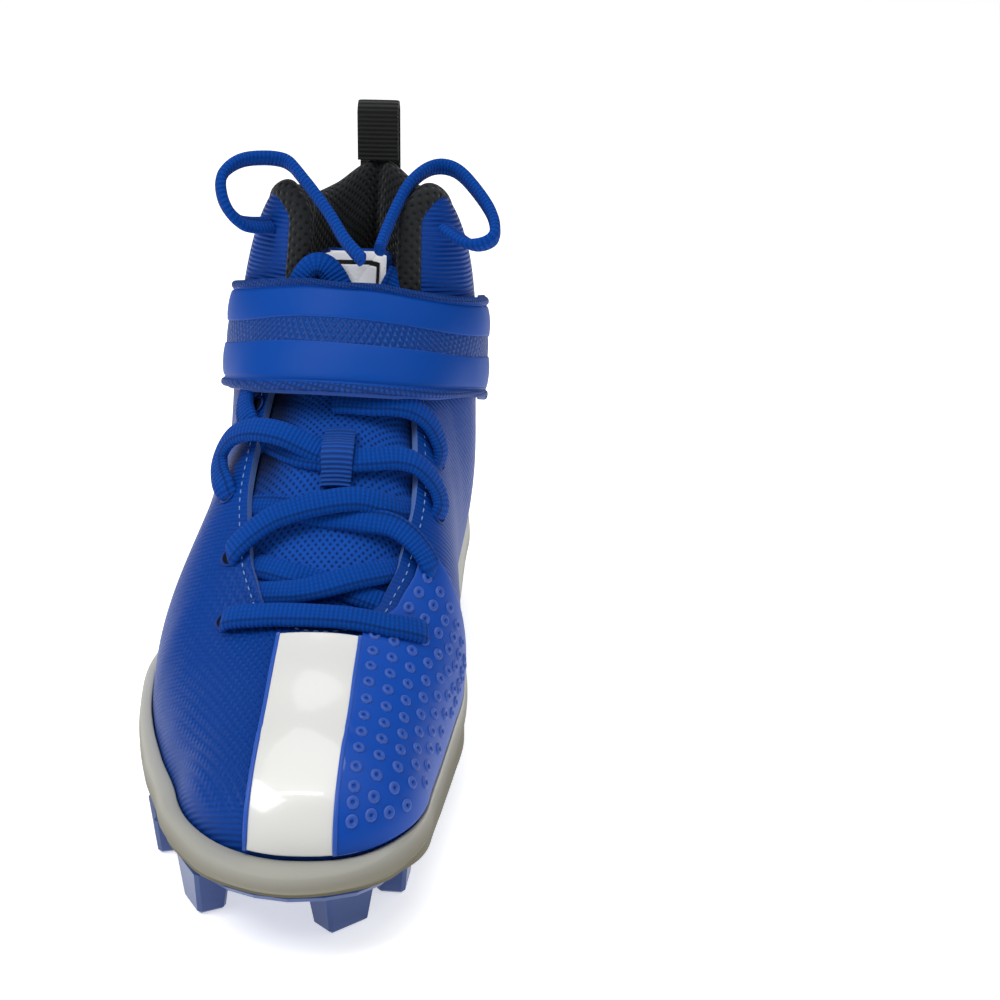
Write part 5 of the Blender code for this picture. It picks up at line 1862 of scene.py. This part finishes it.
@dataclass
class Collar:
    """Padded mesh rim inside the collar and the sock liner below it."""

    wall: float = 0.0025
    thickness: float = 0.0062
    depth: float = 0.038
    crest: float = 0.0048
    gap: float = 0.0008
    ear_gap: float = 0.0025
    over_edge: float = 0.0013
    lip_inset: float = 0.0014
    crease: float = 0.55
    crease_width: float = 0.17

    def build(self) -> None:
        """Shape the pad and the liner."""
        runs = ((9.55, 11, 30), (11, 15, 52), (15, 16, 25))
        side, place = LAST.around(np.unique(np.concatenate([np.linspace(*run) for run in runs])))
        ear = np.clip(1 - np.abs(place - 10.3) / 1.3, 0, 1)
        inside = -(self.wall + self.gap + (self.ear_gap - self.gap) * np.minimum(1.0, 2 * ear))
        top = LAST.v_top(side, place)
        edge, normal = LAST.point(side, place, top), LAST.normal(side, place, top)
        rise = unit(edge - LAST.point(side, place, top - 0.04))
        pad = self.thickness * (1 - self.crease * np.exp(-(((16 - place) / self.crease_width) ** 2)))
        lip = np.full_like(inside, -self.lip_inset)
        section = [
            (inside, -self.depth), (inside, -0.55 * self.depth), (inside, -0.20 * self.depth), (inside, self.over_edge),
            (lip, self.over_edge), (lip, 0.55 * self.crest), (inside - 0.15 * pad, self.crest),
            (inside - 0.70 * pad, 0.85 * self.crest), (inside - pad, 0.0), (inside - pad * 1.06, -0.22 * self.depth),
            (inside - pad, -0.45 * self.depth), (inside - 0.5 * pad, -0.92 * self.depth), (inside, -self.depth),
        ]
        rows = []
        for lift, climb in section:
            if climb <= 0:
                rows.append(LAST.skin(side, place, LAST.v_below_top(side, place, -climb), lift))
            else:
                rows.append(edge + lift[:, None] * normal + climb * rise)
        rough = np.stack(rows, 1)
        spots = np.linspace(0, len(section) - 1, 61)
        points = np.stack([ease(ring, spots) for ring in rough])
        uv = np.stack(np.broadcast_arrays(walk(points[:, 25])[:, None], walk(points)), -1) / MM
        piece = capped("collar_pad", points, uv)
        weld(piece)
        smooth_shade(piece, 60)
        dress(piece, "collar_mesh", KNIT.make())
        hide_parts("collar_lining")
        self.liner()

    def liner(self) -> None:
        """Lay the sock liner on the midsole's floor."""
        side, place = LAST.around(np.linspace(0, 16, 97))
        controls = LAST.controls(side, place)
        narrow = np.minimum(controls[:, 0, 0], LAST.rib(controls, LAST.v_rim(side, place) / 2)[:, 0])
        edge = narrow - self.wall - 0.0006
        rows = [
            (edge * 0, 0.0003), (edge - 0.0008, 0.0003), (edge, 0.0023), (edge - 0.0004, 0.0046),
            (edge - 0.0012, 0.0058),
            (edge - 0.004, 0.0050), (edge - 0.009, 0.0043), (edge * 0.5, 0.0043), (edge * 0, 0.0043),
        ]
        piece = grid("sock_liner", np.stack([LAST.sole_point(side, place, out, 2, rise) for out, rise in rows], 1))
        weld(piece)
        smooth_shade(piece, 60)
        dress(piece, "insole_foam", SOCK_FOAM.make())
        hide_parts("insole")


@dataclass
class Tongue:
    """Padded tongue with its framed label and the webbing that keeps the lace."""

    drop: float = 0.0056
    thickness: float = 0.0045
    label_place: float = 0.578
    label_size: tuple = (0.0215, 0.0125)
    keeper_place: float = 0.435
    keeper_size: tuple = (0.0098, 0.021)
    keeper_arch: float = 0.0040
    # Shares of the half width past which the mesh gets painted shadow, lateral and medial, and shares of the length
    painted_shadow_edges: tuple = (0.42, 0.66)
    painted_shadow_start: float = 0.40
    strap_shade: tuple = (0.500, 0.57)

    def face(self, offset: Array, along: Array, clearance: Array) -> tuple[Array, Array]:
        """Points and normals over the tongue's front."""
        points, normal = LAST.over(offset, LAST.to_y(along), 0.0)
        return points - (self.drop - self.thickness / 2 - np.asarray(clearance)[..., None]) * normal, normal

    def build(self) -> None:
        """Shape the pad, the label and the keeper."""
        along = np.linspace(TONGUE_ROWS[0, 0], TONGUE_ROWS[-1, 0], 110)[:, None]
        half = along_table(TONGUE_ROWS, 1, along) * LAST.ball
        body = along_table(TONGUE_ROWS, 2, along) * self.thickness
        angle = np.linspace(0, 2 * np.pi, 57)[None]
        share = np.sign(np.cos(angle)) * np.abs(np.cos(angle)) ** 0.75
        under = np.where(np.sin(angle) > 0, 0.0, np.abs(np.sin(angle)) ** 0.6)
        roll = np.where(np.sin(angle) > 0, 0.0, 1.0) * under
        edge = 0.35 * (1 - np.abs(np.sin(angle)) ** 0.6)
        depth = self.drop - self.thickness / 2 + body * (roll * (1 - 0.5 * np.abs(share)) + edge * 0.6)
        points, normal = LAST.over(share * half, LAST.to_y(along) * np.ones_like(angle), 0.0)
        points = points - depth[..., None] * normal
        uv = np.stack(np.broadcast_arrays(share * half, walk(points[:, 0])[:, None] * np.ones_like(angle)), -1) / MM
        piece = capped("tongue_pad", points, uv)
        # Painted shadow along the throat's edges and under the strap
        edge_from = np.where(share < 0, *self.painted_shadow_edges)
        painted_shadow = ramp(np.abs(share) - edge_from, 0.3) * ramp(along - self.painted_shadow_start, 0.05)
        low, high = self.strap_shade
        painted_shadow = np.maximum(painted_shadow, ramp(along - low, 0.035) * ramp(high - along, 0.02)) * 0.9
        mark(piece, "painted_shadow", np.concatenate([painted_shadow[:1], painted_shadow, painted_shadow[-1:]]))
        weld(piece)
        smooth_shade(piece, 60)
        dress(piece, "tongue_mesh", AIR_MESH.make())
        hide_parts("tongue")
        self.label()
        self.keeper()

    def patch(
        self, name: str, along: float, width: float, length: float, clearance: float, thickness: float,
        arch: float = 0.0,
    ) -> Piece:
        """Patch that lies on the tongue's front.

        Args:
            name: Name of the piece.
            along: Middle of the patch, as a share of the length.
            width: Width of the patch.
            length: Length of the patch up the instep.
            clearance: Gap under it.
            thickness: Its thickness.
            arch: How far its middle stands off, over a lace.

        Returns:
            The patch, with pattern coordinates in millimetres.
        """
        reach = length / LAST.length * 0.7
        rows = along + reach * np.linspace(-0.5, 0.5, 15)[:, None] * np.ones((1, 17))
        across = np.linspace(-0.5, 0.5, 17)[None] * width * np.ones((15, 1))
        rise = np.exp(-((np.linspace(-1, 1, 15) / 0.55) ** 2))[:, None] * arch
        points, _ = self.face(across, rows, clearance + rise)
        uv = np.stack([across / MM, walk(points.swapaxes(0, 1)).T / MM], -1)
        piece = grid(name, points, uv)
        face_away(piece, np.array([0.01, 0.06, 0.02]))
        thicken(piece, thickness, 0.0002, shade=50)
        return piece

    def label(self) -> None:
        """Set the woven label: white ground, black border and white field."""
        width, length = self.label_size
        back = self.patch("label_ground", self.label_place, width, length, 0.0012, 0.0008)
        dress(back, "label", LABEL_WHITE.make())
        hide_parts("tongue_label")
        black = self.patch("label_frame", self.label_place, width * 0.80, length * 0.72, 0.0020, 0.00025)
        dress(black, "label", LABEL_BLACK.make())
        field_white = self.patch("label_field", self.label_place, width * 0.70, length * 0.56, 0.0022, 0.00025)
        dress(field_white, "label", LABEL_WHITE.make())

    def keeper(self) -> None:
        """Sew the ribbed webbing of the lace keeper."""
        width, length = self.keeper_size
        piece = self.patch("keeper_webbing", self.keeper_place, width, length, 0.0005, 0.0012, self.keeper_arch)
        edit(piece, lambda: bpy.ops.mesh.normals_make_consistent(inside=False))
        dress(piece, "keeper_webbing", WEBBING.make())
        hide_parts("lace_keeper")


@dataclass
class AnkleStrap:
    """Moulded strap in bands: braided border, bead, diamond band, bead, braided border."""

    reach: float = 128.0
    side_gap: float = 0.0010
    front_gap: float = 0.0046
    swell: float = 0.0013
    border: float = 0.0019
    # Shares of the strap's width: limits of the diamond band and inner limits of the braids
    middle_band: tuple = (0.415, 0.615)
    braids: tuple = (0.075, 0.93)
    # Share of the width and share of the swell
    steps: tuple = (
        (0.00, 0.30), (0.012, 0.85), (0.036, 1.00), (0.060, 0.85), (0.074, 0.35), (0.092, 0.10), (0.105, 0.40),
        (0.130, 0.66), (0.175, 0.86), (0.25, 1.00), (0.32, 1.00), (0.37, 0.88), (0.405, 0.72), (0.412, 0.42),
        (0.43, 0.46), (0.515, 0.52), (0.60, 0.46), (0.618, 0.42), (0.625, 0.72), (0.66, 0.88), (0.71, 1.00),
        (0.78, 1.00), (0.84, 0.86), (0.885, 0.66), (0.905, 0.40), (0.915, 0.10), (0.925, 0.25), (0.94, 0.70),
        (0.965, 0.85), (0.99, 0.60), (1.00, 0.10),
    )

    def build(self) -> None:
        """Shape the strap and give each band its finish."""
        turn = np.linspace(-self.reach, self.reach, 181)
        bottom = along_table(STRAP_LEVELS, 1, turn) * LAST.ear
        top = along_table(STRAP_LEVELS, 2, turn) * LAST.ear
        ease_in = 0.5 + 0.5 * np.cos(np.radians(np.minimum(np.abs(turn) * 2.4, 180)))
        gap = self.side_gap + (self.front_gap - self.side_gap) * ease_in
        table = np.array(self.steps)
        spots = np.linspace(0, len(table) - 1, 3 * (len(table) - 1) + 1)
        share, lift = ease(table, spots).T
        share = np.clip(share, 0, 1)
        back = np.linspace(1, 0, 9)
        shares = np.concatenate([share, back, share[:1]])
        out = np.concatenate([self.border + self.swell * lift, np.zeros(9), [self.border + self.swell * lift[0]]])
        up = bottom[:, None] + (top - bottom)[:, None] * shares[None]
        points = ANKLE.point(turn[:, None] * np.ones_like(up), up)
        normal = ANKLE.normal(turn[:, None] * np.ones_like(up), up)
        points = points + (gap[:, None] + out[None])[..., None] * normal
        uv = np.stack(np.broadcast_arrays(walk(points[:, 40])[:, None], up), -1) / MM
        piece = capped("strap_moulding", points, uv)
        bands = np.concatenate([share, np.full(10, -1.0)])
        mark(piece, "band", np.broadcast_to(bands, (len(turn) + 2, len(bands))))
        dress(piece, "strap_moulding", STRAP_SMOOTH.make(), STRAP_DIAMOND.make(), STRAP_BRAID.make())
        band = np.empty(len(piece.data.vertices))
        piece.data.attributes["band"].data.foreach_get("value", band)
        for face in piece.data.polygons:
            place = float(np.mean([band[k] for k in face.vertices]))
            if self.middle_band[0] < place < self.middle_band[1]:
                face.material_index = 1
            elif 0 <= place < self.braids[0] or place > self.braids[1]:
                face.material_index = 2
        weld(piece)
        smooth_shade(piece, 60)
        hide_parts("ankle_strap")
        log.info("strap: %d faces", len(piece.data.polygons))


@dataclass
class PullLoop:
    """Ribbed webbing loop at the heel."""

    width: float = 0.0150
    thickness: float = 0.0016
    gap: float = 0.0068
    rise: float = 0.0205
    tail: float = 0.0160
    crest: float = 0.0048
    skin_gap: float = 0.00045
    slack: float = 0.0008
    tail_slack: float = 0.0004
    base_gap: float = 0.0009

    def build(self) -> None:
        """Bend the webbing over and sew down its tail."""
        back = LAST.point(np.array([1.0]), np.array([16.0]), np.array([1.0]))[0]
        outside = back[1] + self.skin_gap + self.thickness / 2 + self.slack
        inside = outside - self.gap - self.thickness
        base = back[2] + self.crest + self.base_gap
        crown = base + self.rise
        radius = (outside - inside) / 2
        tail = float(LAST.v_below_top(np.array([1.0]), np.array([16.0]), self.tail)[0])
        v = 1.0 - (1.0 - tail) * np.array([1.0, 0.6, 0.3])
        low = LAST.skin(np.ones(3), np.full(3, 16.0), v, self.skin_gap + self.thickness / 2 + self.tail_slack)[:, 1:]
        arc = np.radians(np.linspace(0, 180, 13))
        path = np.concatenate([
            low, [[outside, back[2] + 0.001], [outside, base + 0.4 * (crown - base - radius)]],
            np.stack([(outside + inside) / 2 + radius * np.cos(arc), crown - radius + radius * np.sin(arc)], -1),
            [[inside, base]],
        ])
        path = np.concatenate([np.full((len(path), 1), back[0]), path], 1)
        (path,) = even(ease(path, np.linspace(0, len(path) - 1, 300)), pitch=0.0006)
        up = np.cross(np.array([1.0, 0, 0]), unit(np.gradient(path, axis=0)))
        piece = sweep("heel_webbing", path, up, oval(self.width, self.thickness, 24, 0.3))
        smooth_shade(piece, 50)
        dress(piece, "loop_webbing", BLACK_WEBBING.make())
        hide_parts("pull_loop")


def main() -> None:
    """Build the shoe in order, camera and cords first, and report each piece."""
    studio = Studio()
    studio.camera()
    LaceLoops().build()
    Lacing().build()
    makers = Sole, HeelCounter, Upper, GripPanel, VampStripe, Collar, EarPads, Tongue, AnkleStrap, PullLoop
    for maker in (kind() for kind in makers):
        maker.build()
        log.info("%s done", type(maker).__name__)
    studio.floor()
    studio.light()
    clear_selection()


if __name__ == "__main__":
    logging.basicConfig(level=logging.INFO, format="%(message)s")
    main()
